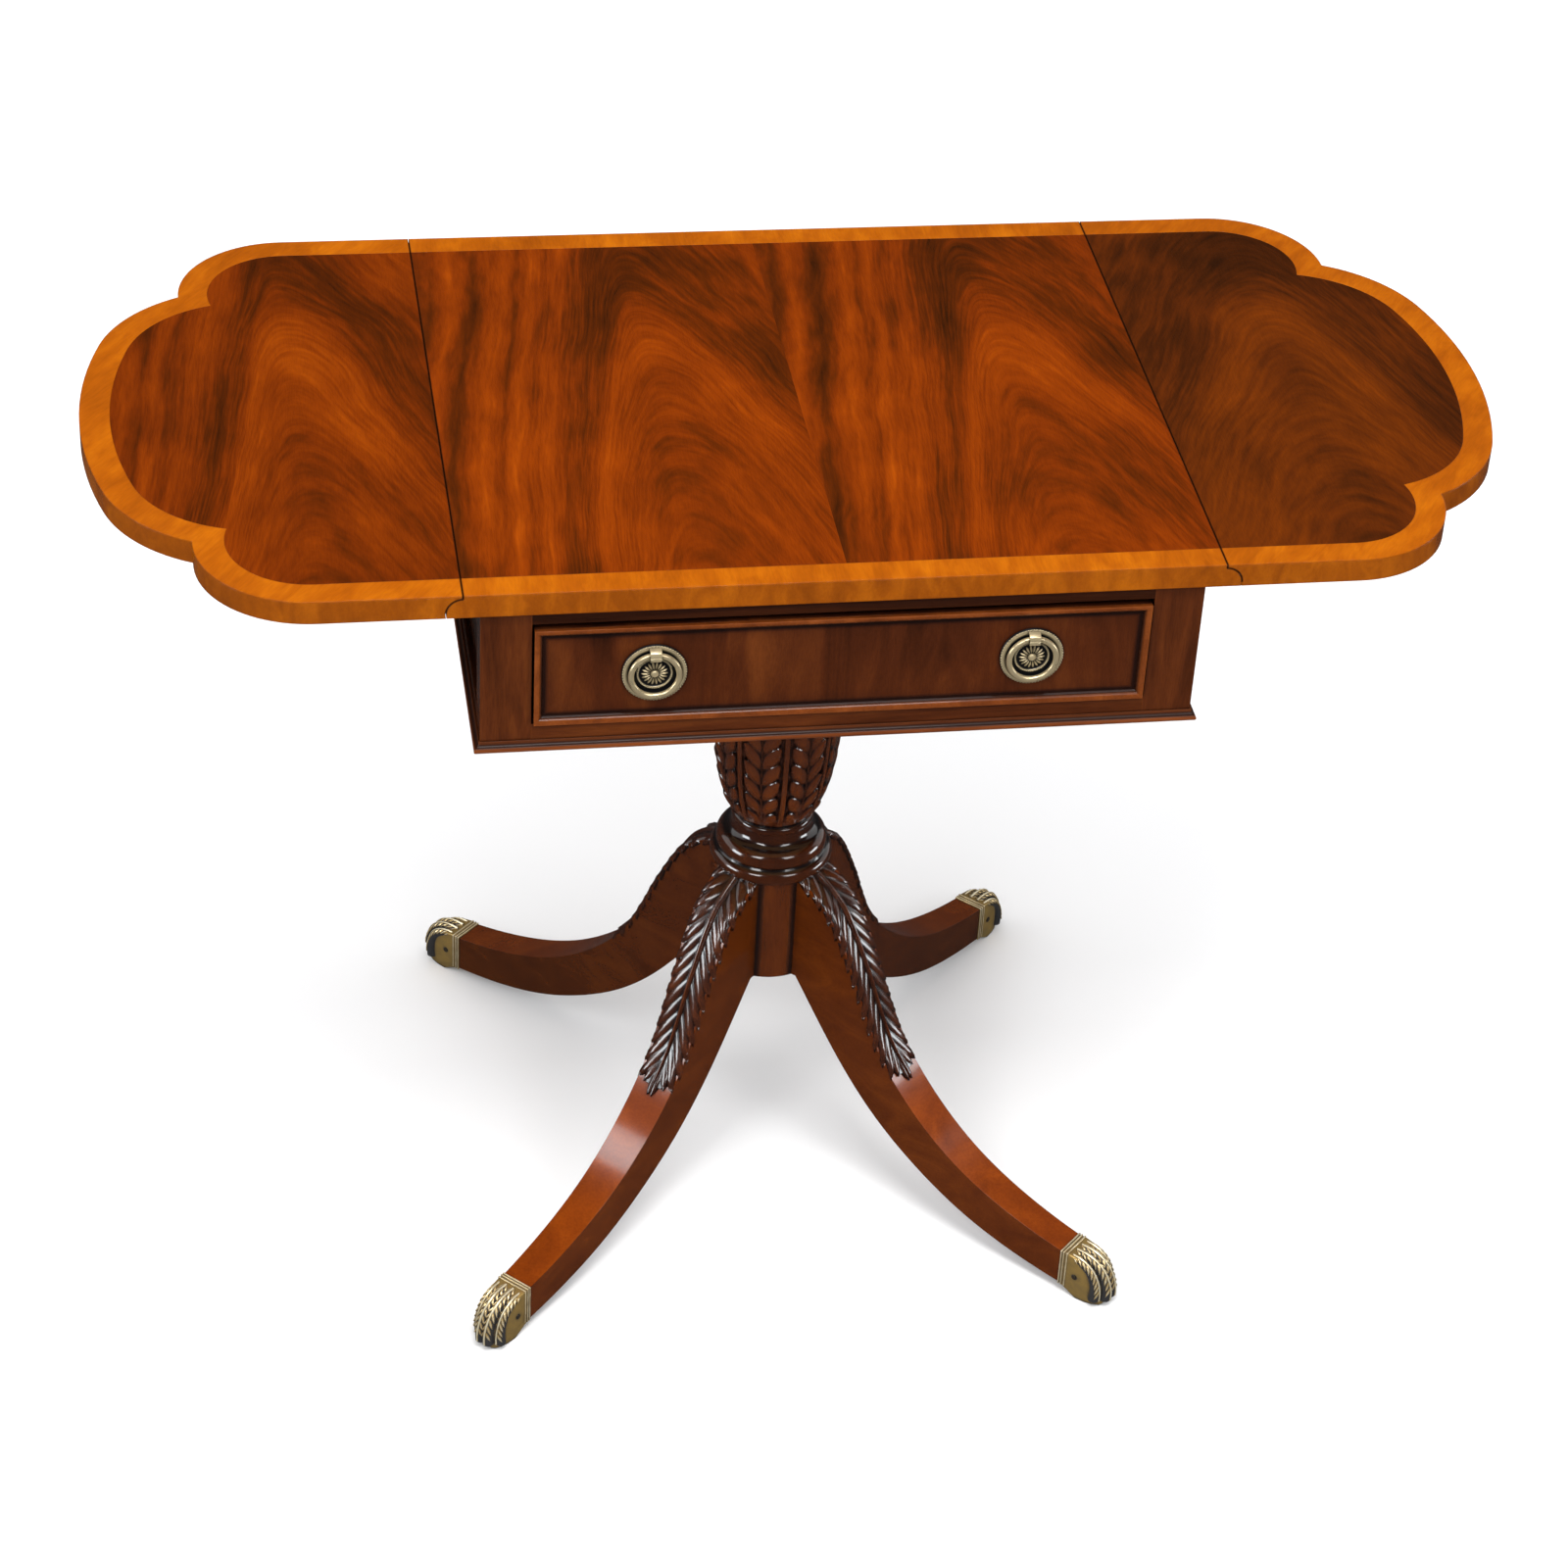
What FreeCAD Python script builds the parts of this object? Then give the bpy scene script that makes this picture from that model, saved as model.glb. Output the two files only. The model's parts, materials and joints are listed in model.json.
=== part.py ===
import FreeCAD, Part
import math
import os
import re

# A pedestal table with two drop leaves on rule joints, one drawer and two swinging fly brackets.
# Frame: origin on the floor under the column, X along the opened top, -Y the drawer side, Z up.

# Driving sizes, in millimetres and degrees
SIZES = {
    # the top and its leaves
    "table_height": 711,
    "top_thickness": 18,
    "veneer_thickness": 1,
    "centre_width": 538,
    "top_depth": 508,
    "band_width": 22,
    "lipping_width": 6,
    "leaf_reach": 256,
    "leaf_straight_share": 0.39,
    "leaf_corner_share": 0.159,
    "lobe_middle_share": 0.684,
    "lobe_end_share": 0.224,
    "lobe_turn": 17.1,
    "pin_rise": 3,
    "rule_fillet": 3,
    "rule_gap": 0.4,
    "seam_gap": 0.6,
    # the rule joint's hinges
    "hinge_length": 40,
    "hinge_setback": 92,
    "hinge_top_reach": 27,
    "hinge_leaf_reach": 50,
    "hinge_plate_thickness": 2,
    "hinge_knuckle_radius": 2.7,
    "hinge_pin_radius": 1.2,
    "hinge_gap": 0.4,
    "running_clearance": 0.05,
    "hinge_screw_spread": 12,
    "hinge_screw_radius": 1.5,
    "hinge_screw_head_radius": 3,
    "hinge_screw_head_height": 1.5,
    "hinge_screw_length": 9,
    # the frieze
    "frieze_side_inset": 12,
    "frieze_front_inset": 6,
    "frieze_height": 117,
    "post_depth": 25,
    "rail_depth": 22,
    "top_rail_height": 12,
    "bottom_rail_height": 21,
    "apron_thickness": 14,
    "rear_apron_thickness": 22,
    "lower_rail_height": 22,
    "moulding_height": 8,
    "moulding_projection": 4.5,
    "moulding_bead": 4,
    "moulding_lip": 1,
    # the fly brackets
    "fly_thickness": 18,
    "fly_setback": 4,
    "fly_length": 170,
    "fly_tip_height": 38,
    "fly_gap": 0.4,
    "fly_end_gap": 4,
    "fly_pin_radius": 2.5,
    # the drawer
    "drawer_side_gap": 1.5,
    "drawer_top_gap": 4,
    "drawer_foot_gap": 0.5,
    "drawer_front_thickness": 18,
    "drawer_side_thickness": 10,
    "drawer_side_drop": 6,
    "drawer_rear_gap": 4,
    "drawer_bottom_thickness": 6,
    "drawer_bottom_rise": 8,
    "drawer_groove": 5,
    "panel_moulding_width": 6,
    "panel_moulding_projection": 3.5,
    "runner_width": 16,
    "runner_height": 12,
    "kicker_gap": 1,
    "stop_length": 30,
    "stop_depth": 10,
    "stop_height": 5,
    "stop_spread": 100,
    # the ring pulls
    "pull_spread": 135,
    "pull_plate_radius": 23.2,
    "pull_plate_thickness": 2,
    "pull_rim_width": 2.4,
    "pull_rim_height": 1.2,
    "pull_boss_radius": 12,
    "pull_boss_height": 2.5,
    "pull_ring_radius": 17,
    "pull_ring_wire": 2.1,
    "pull_ring_gap": 0.4,
    "pull_tab_width": 6,
    "pull_tab_wall": 1.6,
    "pull_bolt_radius": 2,
    "pull_nut_radius": 5,
    "pull_nut_height": 4,
    # the pedestal
    "board_width": 200,
    "board_thickness": 14,
    "hub_foot": 190,
    "hub_radius": 45,
    "collar_foot": 284,
    "collar_radius": 49.4,
    "vase_foot": 331,
    "vase_foot_radius": 30,
    "vase_belly_radius": 49.5,
    "vase_throat_radius": 27,
    "vase_throat_drop": 54,
    "capital_radius": 60,
    "capital_height": 28,
    "spigot_radius": 13,
    "spigot_length": 30,
    "tenon_radius": 20,
    # the legs and their paw caps
    "leg_reach": 316,
    "leg_shoulder": 284,
    "leg_toe_top": 42,
    "leg_toe_foot": 9,
    "leg_root_width": 38,
    "leg_toe_width": 26,
    "tongue_width": 18,
    "tongue_neck": 14,
    "tongue_depth": 14,
    "tongue_height": 78,
    "cap_length": 46,
    "cap_wall": 3,
    "cap_proud": 1,
    "cap_band": 7,
    "toe_tenon_length": 22,
    "toe_tenon_height": 20,
    "toe_groove_radius": 1.8,
    "cap_screw_radius": 2.2,
    "cap_screw_setback": 15,
    # how far every cutting shape runs past the wood it cuts
    "cut_overrun": 5,
}

# Places and sizes worked out from the driving ones
WORKED = {
    "seam": "centre_width / 2",
    "half_depth": "top_depth / 2",
    "underside": "table_height - top_thickness",
    "veneer_foot": "table_height - veneer_thickness",
    "pin_height": "underside + pin_rise",
    "rule_radius": "top_thickness - pin_rise - rule_fillet",
    "cove_radius": "rule_radius + rule_gap",
    "leaf_edge": "seam + seam_gap",
    "leaf_straight": "leaf_reach * leaf_straight_share",
    "leaf_corner_radius": "top_depth * leaf_corner_share",
    "lobe_middle_radius": "top_depth * lobe_middle_share",
    "lobe_end_radius": "top_depth * lobe_end_share",
    "hinge_place": "half_depth - hinge_setback",
    "plate_roof": "underside + hinge_plate_thickness",
    "web_reach": "pin_rise + hinge_gap",
    "swing_radius": "sqrt(pin_rise ^ 2 + web_reach ^ 2) + hinge_gap",
    "frieze_foot": "underside - frieze_height",
    "frieze_side": "seam - frieze_side_inset",
    "frieze_front": "half_depth - frieze_front_inset",
    "post_width": "apron_thickness + fly_thickness + fly_setback",
    "opening_side": "frieze_side - post_width",
    "opening_foot": "frieze_foot + bottom_rail_height",
    "opening_head": "underside - top_rail_height",
    "post_back": "frieze_front - post_depth",
    "rail_back": "frieze_front - rail_depth",
    "rear_face": "frieze_front - rear_apron_thickness",
    "apron_face": "opening_side + apron_thickness",
    "fly_face": "apron_face + fly_thickness",
    "fly_axis": "apron_face + fly_thickness / 2",
    "fly_foot": "frieze_foot + lower_rail_height",
    "fly_height": "underside - fly_foot",
    "fly_reach": "fly_thickness / 2 - fly_gap",
    "moulding_side": "frieze_side + moulding_projection",
    "moulding_front": "frieze_front + moulding_projection",
    "drawer_side": "opening_side - drawer_side_gap",
    "drawer_foot": "opening_foot + drawer_foot_gap",
    "drawer_head": "opening_head - drawer_top_gap",
    "drawer_front_back": "frieze_front - drawer_front_thickness",
    "drawer_end": "rear_face - drawer_rear_gap",
    "drawer_side_inner": "drawer_side - drawer_side_thickness",
    "drawer_side_head": "drawer_head - drawer_side_drop",
    "drawer_floor": "opening_foot + drawer_bottom_rise",
    "drawer_floor_top": "drawer_floor + drawer_bottom_thickness",
    "drawer_floor_side": "drawer_side_inner + drawer_groove",
    "drawer_floor_front": "drawer_front_back + drawer_groove",
    "runner_side": "opening_side - runner_width",
    "kicker_foot": "drawer_side_head + kicker_gap",
    "pull_height": "(drawer_foot + drawer_head) / 2",
    "pull_face": "frieze_front + pull_plate_thickness",
    "pull_eye": "pull_ring_wire + pull_ring_gap + pull_tab_width ^ 2 / (8 * pull_ring_radius)",
    "pull_ring_axis": "pull_face + pull_eye + pull_ring_gap",
    "pull_ring_head": "pull_height + pull_ring_radius",
    "pull_boss_ball": "(pull_boss_radius ^ 2 + pull_boss_height ^ 2) / (2 * pull_boss_height)",
    "board_top": "frieze_foot + board_thickness",
    "cap_end": "leg_reach + cap_length",
    "cap_width": "leg_toe_width + 2 * cap_proud",
    "cap_screw_place": "leg_reach + cap_screw_setback",
    "toe_tenon_width": "leg_toe_width - 2 * cap_wall",
    "toe_tenon_foot": "leg_toe_foot + cap_wall",
    "toe_tenon_middle": "toe_tenon_foot + toe_tenon_height / 2",
}

# Outlines as shares of the sizes they follow

# shares of the leg's run from hub to cap, and of its fall from shoulder to toe
LEG_TOP_SHARES = ((0, 1), (0.105, 0.915), (0.2, 0.725), (0.255, 0.585), (0.32, 0.445),
                  (0.445, 0.28), (0.61, 0.142), (0.805, 0.05), (1, 0))
# shares of the leg's run, and of the rise from its toe's underside to the hub's foot
LEG_FOOT_SHARES = ((0, 1), (0.11, 0.77), (0.205, 0.59), (0.325, 0.41), (0.48, 0.245), (0.665, 0.11),
                   (0.83, 0.04), (1, 0))
# shares of the collar's radius and of its height, from the hub up to the vase
COLLAR_RING_SHARE = 0.27
COLLAR_FILLET_SHARES = (0.89, 0.3)
COLLAR_TORUS_SHARES = (0.9, 0.43)
COLLAR_TORUS_HEAD_SHARES = (0.78, 0.58)
COLLAR_COVE_SHARES = (0.672, 0.66)
COLLAR_COVE_HEAD_SHARES = (0.635, 0.83)
COLLAR_BEAD_SHARES = (0.675, 0.9)
COLLAR_HEAD_SHARES = (0.635, 0.97)
# shares of the vase's swell from foot to belly, and of its height from foot to throat
VASE_LOWER_SHARES = ((0, 0), (0.14, 0.01), (0.5, 0.105), (0.68, 0.18), (0.86, 0.31), (1, 0.56))
# shares of the vase's fall from belly to throat, and of its height from foot to throat
VASE_UPPER_SHARES = ((0.88, 0.68), (0.5, 0.81), (0.14, 0.92), (0, 1))
# shares of the capital's spread past the throat, and of its height
CAPITAL_BEAD_SHARES = (0.27, 0.2)
CAPITAL_NECK_SHARES = (0.12, 0.4)
CAPITAL_COVE_SHARES = (0.4, 0.66)
CAPITAL_PLATE_SHARES = (1, 0.72)
# shares of the base moulding's cove, across and up, at the cove's middle
MOULDING_COVE_SHARES = (0.22, 0.3)
# shares of the drawer front frame's projection and width, from its outer edge in to the panel
PANEL_FRAME_SHARES = ((0, 0), (1, 0), (1, 0.2), (0.84, 0.52), (0.4, 0.72), (0.4, 0.86), (0, 1))
# shares of a fly bracket's length and of its height over the tip, along its ogee underside
FLY_OGEE_SHARES = ((0.22, 0), (0.36, 0.08), (0.52, 0.42), (0.68, 0.82), (0.82, 1))
# shares of the paw's length and of its height, over the toes and round to the floor
PAW_BACK_SHARES = ((0, 1), (0.3, 0.98), (0.62, 0.87), (0.86, 0.6), (0.985, 0.3))
PAW_SOLE_SHARES = (0.9, 0.38)
PAW_TOE_SHARES = (0.97, 0.05)
# share of the paw's length that its rounded front takes
PAW_ROUND_SHARE = 0.3
# shares of the paw's length and height where a groove between toes starts and ends
TOE_GROOVE_SHARES = ((0.42, 1.0), (1.03, 0.28))
TOE_PLACE_SHARES = (-0.25, 0, 0.25)
# share of a hinge's length that its leaf's knuckle takes
KNUCKLE_SHARE = 0.5
# shares of the hinge plates' reach where their screws stand
TOP_SCREW_SHARE = 0.55
LEAF_SCREW_SHARES = (0.4, 0.8)
# fixed and moving fingers of a fly bracket's knuckle, from below
FINGERS = 5

doc = FreeCAD.newDocument("drop_leaf_table")
NODES = []


def formula(text, own=()):
    """Point each named size in a formula at the sheet that holds it."""
    def qualify(match):
        word = match.group()
        if word in own:
            return word
        if word in SIZES:
            return "Sizes." + word
        if word in WORKED:
            return "Worked." + word
        return word
    return re.sub("[a-z_]+", qualify, text)


def fill(name, cells):
    """A sheet with one named cell in each row."""
    sheet = doc.addObject("Spreadsheet::Sheet", name)
    for row, (alias, content) in enumerate(cells.items(), 1):
        sheet.set("A%d" % row, alias)
        sheet.set("B%d" % row, content)
        sheet.setAlias("B%d" % row, alias)
    doc.recompute()
    return sheet


sizes = fill("Sizes", {alias: str(number) for alias, number in SIZES.items()})
worked = fill("Worked", {alias: "=" + formula(text, WORKED) for alias, text in WORKED.items()})


def v(name):
    """The number that a sheet holds under a name."""
    return float((sizes if name in SIZES else worked).get(name))


def bind(thing, prop, text):
    thing.setExpression(prop, formula(text))


def negative(text):
    return "-(%s)" % text


# Solids bound to the sheets

def box(label, x, y, z):
    """A block between two formulas on each axis."""
    block = doc.addObject("Part::Box", label)
    for axis, side, (low, high) in zip("xyz", ("Length", "Width", "Height"), (x, y, z)):
        bind(block, "Placement.Base." + axis, low)
        bind(block, side, "(%s) - (%s)" % (high, low))
    return block


AXIS_TURNS = {
    "x": FreeCAD.Rotation(FreeCAD.Vector(0, 1, 0), 90),
    "y": FreeCAD.Rotation(FreeCAD.Vector(1, 0, 0), -90),
    "z": FreeCAD.Rotation(),
}


def stand(solid, axis, places, low):
    """Turn a round solid along an axis and set its low end and its two other places."""
    solid.Placement = FreeCAD.Placement(FreeCAD.Vector(), AXIS_TURNS[axis])
    others = [name for name in "xyz" if name != axis]
    bind(solid, "Placement.Base." + axis, low)
    for name, text in zip(others, places):
        bind(solid, "Placement.Base." + name, text)
    return solid


def rod(label, axis, places, span, radius):
    """A cylinder along an axis between two formulas."""
    cylinder = doc.addObject("Part::Cylinder", label)
    bind(cylinder, "Radius", radius)
    bind(cylinder, "Height", "(%s) - (%s)" % (span[1], span[0]))
    return stand(cylinder, axis, places, span[0])


def cone(label, axis, places, low, radii, height):
    """A cone along an axis, from its low radius to its high one."""
    tapered = doc.addObject("Part::Cone", label)
    bind(tapered, "Radius1", radii[0])
    bind(tapered, "Radius2", radii[1])
    bind(tapered, "Height", height)
    return stand(tapered, axis, places, low)


def group(label, pieces):
    compound = doc.addObject("Part::Compound", label)
    compound.Links = pieces
    return compound


def fuse(label, *pieces):
    joined = doc.addObject("Part::MultiFuse", label)
    joined.Shapes = list(pieces)
    return joined


def cut(label, base, *tools):
    rest = doc.addObject("Part::Cut", label)
    rest.Base = base
    rest.Tool = tools[0] if len(tools) == 1 else group(label + "_cutters", list(tools))
    return rest


def common(label, first, second):
    shared = doc.addObject("Part::Common", label)
    shared.Base = first
    shared.Tool = second
    return shared


def mirror(label, source, normal):
    image = doc.addObject("Part::Mirroring", label)
    image.Source = source
    image.Normal = normal
    return image


def node(label, solid):
    """Name a finished sub-part, which goes to a file of that name."""
    solid.Label = label
    NODES.append(solid)
    return solid


ACROSS = FreeCAD.Vector(1, 0, 0)
ALONG = FreeCAD.Vector(0, 1, 0)
UPRIGHT = FreeCAD.Vector(0, 0, 1)


def pair(name, solid):
    """A right-hand sub-part and its mirror image on the left."""
    node("right_" + name, solid)
    node("left_" + name, mirror("left_" + name, solid, ACROSS))


# Sketches and the solids drawn from them

def point(across, up):
    return FreeCAD.Vector(across, up, 0)


def path(*corners):
    """Straight edges through the corners, closed."""
    return [Part.LineSegment(start, end) for start, end in zip(corners, corners[1:] + corners[:1])]


def run(*corners):
    """Straight edges through the corners, open."""
    return [Part.LineSegment(start, end) for start, end in zip(corners, corners[1:])]


def curve(points):
    spline = Part.BSplineCurve()
    spline.interpolate(points)
    return [spline]


def arc(start, middle, end):
    return [Part.ArcOfCircle(start, middle, end)]


def bow(centre, radius, start_angle, end_angle):
    """An arc about a centre, anticlockwise between two angles in radians."""
    circle = Part.Circle(centre, UPRIGHT, radius)
    return [Part.ArcOfCircle(circle, start_angle, end_angle)]


def draw(body, role, edges):
    """A sketch on one of a body's own planes."""
    sketch = body.newObject("Sketcher::SketchObject", body.Name + "_sketch")
    plane = [feature for feature in body.Origin.OriginFeatures if feature.Role == role][0]
    sketch.AttachmentSupport = (plane, [""])
    sketch.MapMode = "FlatFace"
    sketch.addGeometry(edges, False)
    return sketch


def pad(body, sketch, length, both_ways=False, backwards=False):
    block = body.newObject("PartDesign::Pad", body.Name + "_pad")
    block.Profile = sketch
    block.Midplane = both_ways
    block.Reversed = backwards
    bind(block, "Length", length)
    return block


def pocket(body, sketch, length):
    """Cut a sketch out of a body, half the length to each side of the sketch's plane."""
    cutting = body.newObject("PartDesign::Pocket", body.Name + "_pocket")
    cutting.Profile = sketch
    cutting.Midplane = True
    bind(cutting, "Length", length)
    return cutting


def turn(body, sketch):
    turned = body.newObject("PartDesign::Revolution", body.Name + "_turned")
    turned.Profile = sketch
    turned.ReferenceAxis = (sketch, ["V_Axis"])
    turned.Angle = 360
    return turned


def new_body(label):
    return doc.addObject("PartDesign::Body", label)


SKETCH_TURNS = {
    "XY": FreeCAD.Rotation(),
    "XZ": FreeCAD.Rotation(FreeCAD.Vector(1, 0, 0), 90),
    "YZ": FreeCAD.Rotation(FreeCAD.Vector(1, 1, 1), 120),
}


def prism(label, plane, edges, low, high):
    """A sketch on a main plane, drawn out along the plane's normal between two formulas."""
    sketch = doc.addObject("Sketcher::SketchObject", label + "_sketch")
    sketch.Placement = FreeCAD.Placement(FreeCAD.Vector(), SKETCH_TURNS[plane])
    sketch.addGeometry(edges, False)
    drawn = doc.addObject("Part::Extrusion", label)
    drawn.Base = sketch
    drawn.DirMode = "Normal"
    drawn.Solid = True
    bind(drawn, "LengthFwd", high)
    bind(drawn, "LengthRev", negative(low))
    return drawn


# The centre of the top

def centre_profile():
    """The top's end grain: square above, with the rule joint's fillet and round at both sides."""
    seam = v("seam")
    foot_reach = seam + math.sqrt(v("rule_radius") ** 2 - v("pin_rise") ** 2)
    middle_turn = (math.pi / 2 - math.asin(v("pin_rise") / v("rule_radius"))) / 2
    middle = point(seam + v("rule_radius") * math.cos(middle_turn),
                   v("pin_height") + v("rule_radius") * math.sin(middle_turn))
    head = point(seam, v("veneer_foot"))
    fillet = point(seam, v("pin_height") + v("rule_radius"))
    foot = point(foot_reach, v("underside"))

    def other(spot):
        return point(-spot.x, spot.y)
    return (run(other(head), head, fillet) + arc(fillet, middle, foot) + run(foot, other(foot))
            + arc(other(foot), other(middle), other(fillet)) + run(other(fillet), other(head)))


def centre_slab(label, length):
    """A slab with the top's end profile, as long as asked, on both sides of the middle."""
    body = new_body(label)
    pad(body, draw(body, "XZ_Plane", centre_profile()), length, both_ways=True)
    return body


def centre_lippings():
    slab = centre_slab("top_lipping_slab", "top_depth")
    inner = box("top_lipping_inner",
                ("-seam - cut_overrun - rule_radius", "seam + cut_overrun + rule_radius"),
                ("-half_depth + lipping_width", "half_depth - lipping_width"),
                ("underside - cut_overrun", "table_height"))
    return cut("top_lippings", slab, inner)


HINGE_PLACES = {"front": "-hinge_place", "rear": "hinge_place"}


def hinge_span(place, share):
    """The span along Y of a share of a hinge's length, about its place."""
    half = "hinge_length * %s / 2" % share
    return "%s - %s" % (place, half), "%s + %s" % (place, half)


def widened(span, gap):
    return "%s - %s" % (span[0], gap), "%s + %s" % (span[1], gap)


def hinge_pockets_in_top(place):
    """What is cut from the centre's underside for one right-hand hinge."""
    whole = hinge_span(place, 1)
    loose = widened(whole, "hinge_gap")
    low = "underside - cut_overrun"
    plate = box("top_plate_recess", ("seam - hinge_top_reach", "seam"), whole, (low, "plate_roof"))
    swing = rod("knuckle_recess", "y", ("seam", "pin_height"), loose, "swing_radius")
    slot = box("leaf_plate_slot", ("seam", "seam + rule_radius + cut_overrun"), loose,
               (low, "plate_roof + hinge_gap"))
    return [plate, swing, slot]


def hinge_screw(place_x, place_y):
    """One countersunk screw, driven upwards through a hinge plate."""
    places = (place_x, place_y)
    head = cone("hinge_screw_head", "z", places, "underside",
                ("hinge_screw_head_radius", "hinge_screw_radius"), "hinge_screw_head_height")
    shank = rod("hinge_screw_shank", "z", places,
                ("underside + hinge_screw_head_height", "underside + hinge_screw_length"),
                "hinge_screw_radius")
    return fuse("hinge_screw", head, shank)


def top_screws(place):
    across = "seam - hinge_top_reach * %s" % TOP_SCREW_SHARE
    return [hinge_screw(across, "%s %s hinge_screw_spread" % (place, sign)) for sign in "-+"]


def leaf_screws(place):
    near, far = ["seam + hinge_leaf_reach * %s" % share for share in LEAF_SCREW_SHARES]
    outer = [hinge_screw(near, "%s %s hinge_screw_spread" % (place, sign)) for sign in "-+"]
    return outer + [hinge_screw(far, place)]


def hinge_side(label, plate_span, web_span, spans, place, bore, screws):
    """One flap of a hinge: its plate, the webs up to its knuckles, and the bore for the pin."""
    pieces = [box(label + "_plate", plate_span, hinge_span(place, 1), ("underside", "plate_roof"))]
    for span in spans:
        pieces.append(box(label + "_web", web_span, span, ("underside", "pin_height")))
        pieces.append(rod(label + "_knuckle", "y", ("seam", "pin_height"), span, "hinge_knuckle_radius"))
    hole = rod(label + "_bore", "y", ("seam", "pin_height"), widened(hinge_span(place, 1), "cut_overrun"),
               bore)
    return cut(label, fuse(label + "_blank", *pieces), hole, *screws)


def hinge_flap_on_top(place, screws):
    low, high = hinge_span(place, 1)
    inner_low, inner_high = hinge_span(place, KNUCKLE_SHARE)
    spans = ((low, inner_low), (inner_high, high))
    return hinge_side("top_flap", ("seam - hinge_top_reach", "seam - web_reach"),
                      ("seam - web_reach", "seam"), spans, place, "hinge_pin_radius", screws)


def hinge_flap_on_leaf(place, screws):
    middle = widened(hinge_span(place, KNUCKLE_SHARE), "-hinge_gap")
    return hinge_side("leaf_flap", ("seam + web_reach", "seam + hinge_leaf_reach"),
                      ("seam", "seam + web_reach"), (middle,), place,
                      "hinge_pin_radius + running_clearance", screws)


def mirrored_group(label, pieces):
    """Right-hand solids and their images on the left, as one node."""
    right = group(label + "_right", pieces)
    return node(label, group(label, [right, mirror(label + "_left", right, ACROSS)]))


def build_centre():
    right_screws = {place: top_screws(place) for place in HINGE_PLACES.values()}
    recesses = []
    for place, screws in right_screws.items():
        recesses += hinge_pockets_in_top(place) + screws
    right_recesses = group("right_recesses", recesses)
    left_recesses = mirror("left_recesses", right_recesses, ACROSS)
    slab = centre_slab("top_core_slab", "top_depth - 2 * lipping_width")
    node("top_core", cut("top_core", slab, right_recesses, left_recesses))
    node("top_lippings", centre_lippings())
    flaps = [hinge_flap_on_top(place, screws) for place, screws in right_screws.items()]
    mirrored_group("top_hinge_flaps", flaps)
    mirrored_group("hinge_pins", [rod("hinge_pin", "y", ("seam", "pin_height"), hinge_span(place, 1),
                                      "hinge_pin_radius") for place in HINGE_PLACES.values()])
    mirrored_group("top_hinge_screws", [screw for screws in right_screws.values() for screw in screws])
    field = ("-half_depth + band_width", "half_depth - band_width")
    skin = ("veneer_foot", "table_height")
    mirrored_group("top_veneers", [box("top_veneer", ("0", "seam"), field, skin)])
    front_band = box("top_front_band", ("-seam", "seam"), ("-half_depth", "-half_depth + band_width"), skin)
    rear_band = mirror("top_rear_band", front_band, ALONG)
    node("top_bands", group("top_bands", [front_band, rear_band]))


# The leaves

def circles_meet(first, first_radius, second, second_radius):
    """Where two circles cross, on the side away from the seam."""
    between = second - first
    distance = between.Length
    along = (distance ** 2 + first_radius ** 2 - second_radius ** 2) / (2 * distance)
    aside = math.sqrt(first_radius ** 2 - along ** 2)
    unit = between / distance
    foot = first + unit * along
    spots = [foot + point(-unit.y, unit.x) * aside, foot - point(-unit.y, unit.x) * aside]
    return max(spots, key=lambda spot: spot.x)


def bearing(centre, spot):
    return math.atan2(spot.y - centre.y, spot.x - centre.x)


def leaf_outline(inset):
    """The clover outline of the right leaf, drawn in from its edge, closed along the seam."""
    edge = v("leaf_edge")
    side = v("half_depth") - inset
    seam = v("seam")
    turn_angle = math.radians(v("lobe_turn"))
    middle = point(seam + v("leaf_reach") - v("lobe_middle_radius"), 0)
    shift = v("lobe_middle_radius") - v("lobe_end_radius")
    end = middle + point(math.cos(turn_angle), math.sin(turn_angle)) * shift
    corner = point(seam + v("leaf_straight"), v("half_depth") - v("leaf_corner_radius"))
    corner_radius = v("leaf_corner_radius") - inset
    end_radius = v("lobe_end_radius") - inset
    cusp = circles_meet(corner, corner_radius, end, end_radius)
    cusp_on_end = bearing(end, cusp)
    cusp_on_corner = bearing(corner, cusp)
    below_end = point(end.x, -end.y)
    below_corner = point(corner.x, -corner.y)
    head = point(edge, side)
    foot = point(edge, -side)
    edges = run(head, foot, point(corner.x, -side))
    edges += bow(below_corner, corner_radius, -math.pi / 2, -cusp_on_corner)
    edges += bow(below_end, end_radius, -cusp_on_end, -turn_angle)
    edges += bow(middle, v("lobe_middle_radius") - inset, -turn_angle, turn_angle)
    edges += bow(end, end_radius, turn_angle, cusp_on_end)
    edges += bow(corner, corner_radius, cusp_on_corner, math.pi / 2)
    edges += run(point(corner.x, side), head)
    return edges


def leaf_sheet(label, inset, low, high):
    """A sheet of the leaf's outline between two heights."""
    return prism(label, "XY", leaf_outline(inset), low, high)


def rule_cove():
    """The round that the leaf's cove is hollowed to."""
    return rod("rule_cove", "y", ("seam", "pin_height"),
               ("-half_depth - cut_overrun", "half_depth + cut_overrun"), "cove_radius")


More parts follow.
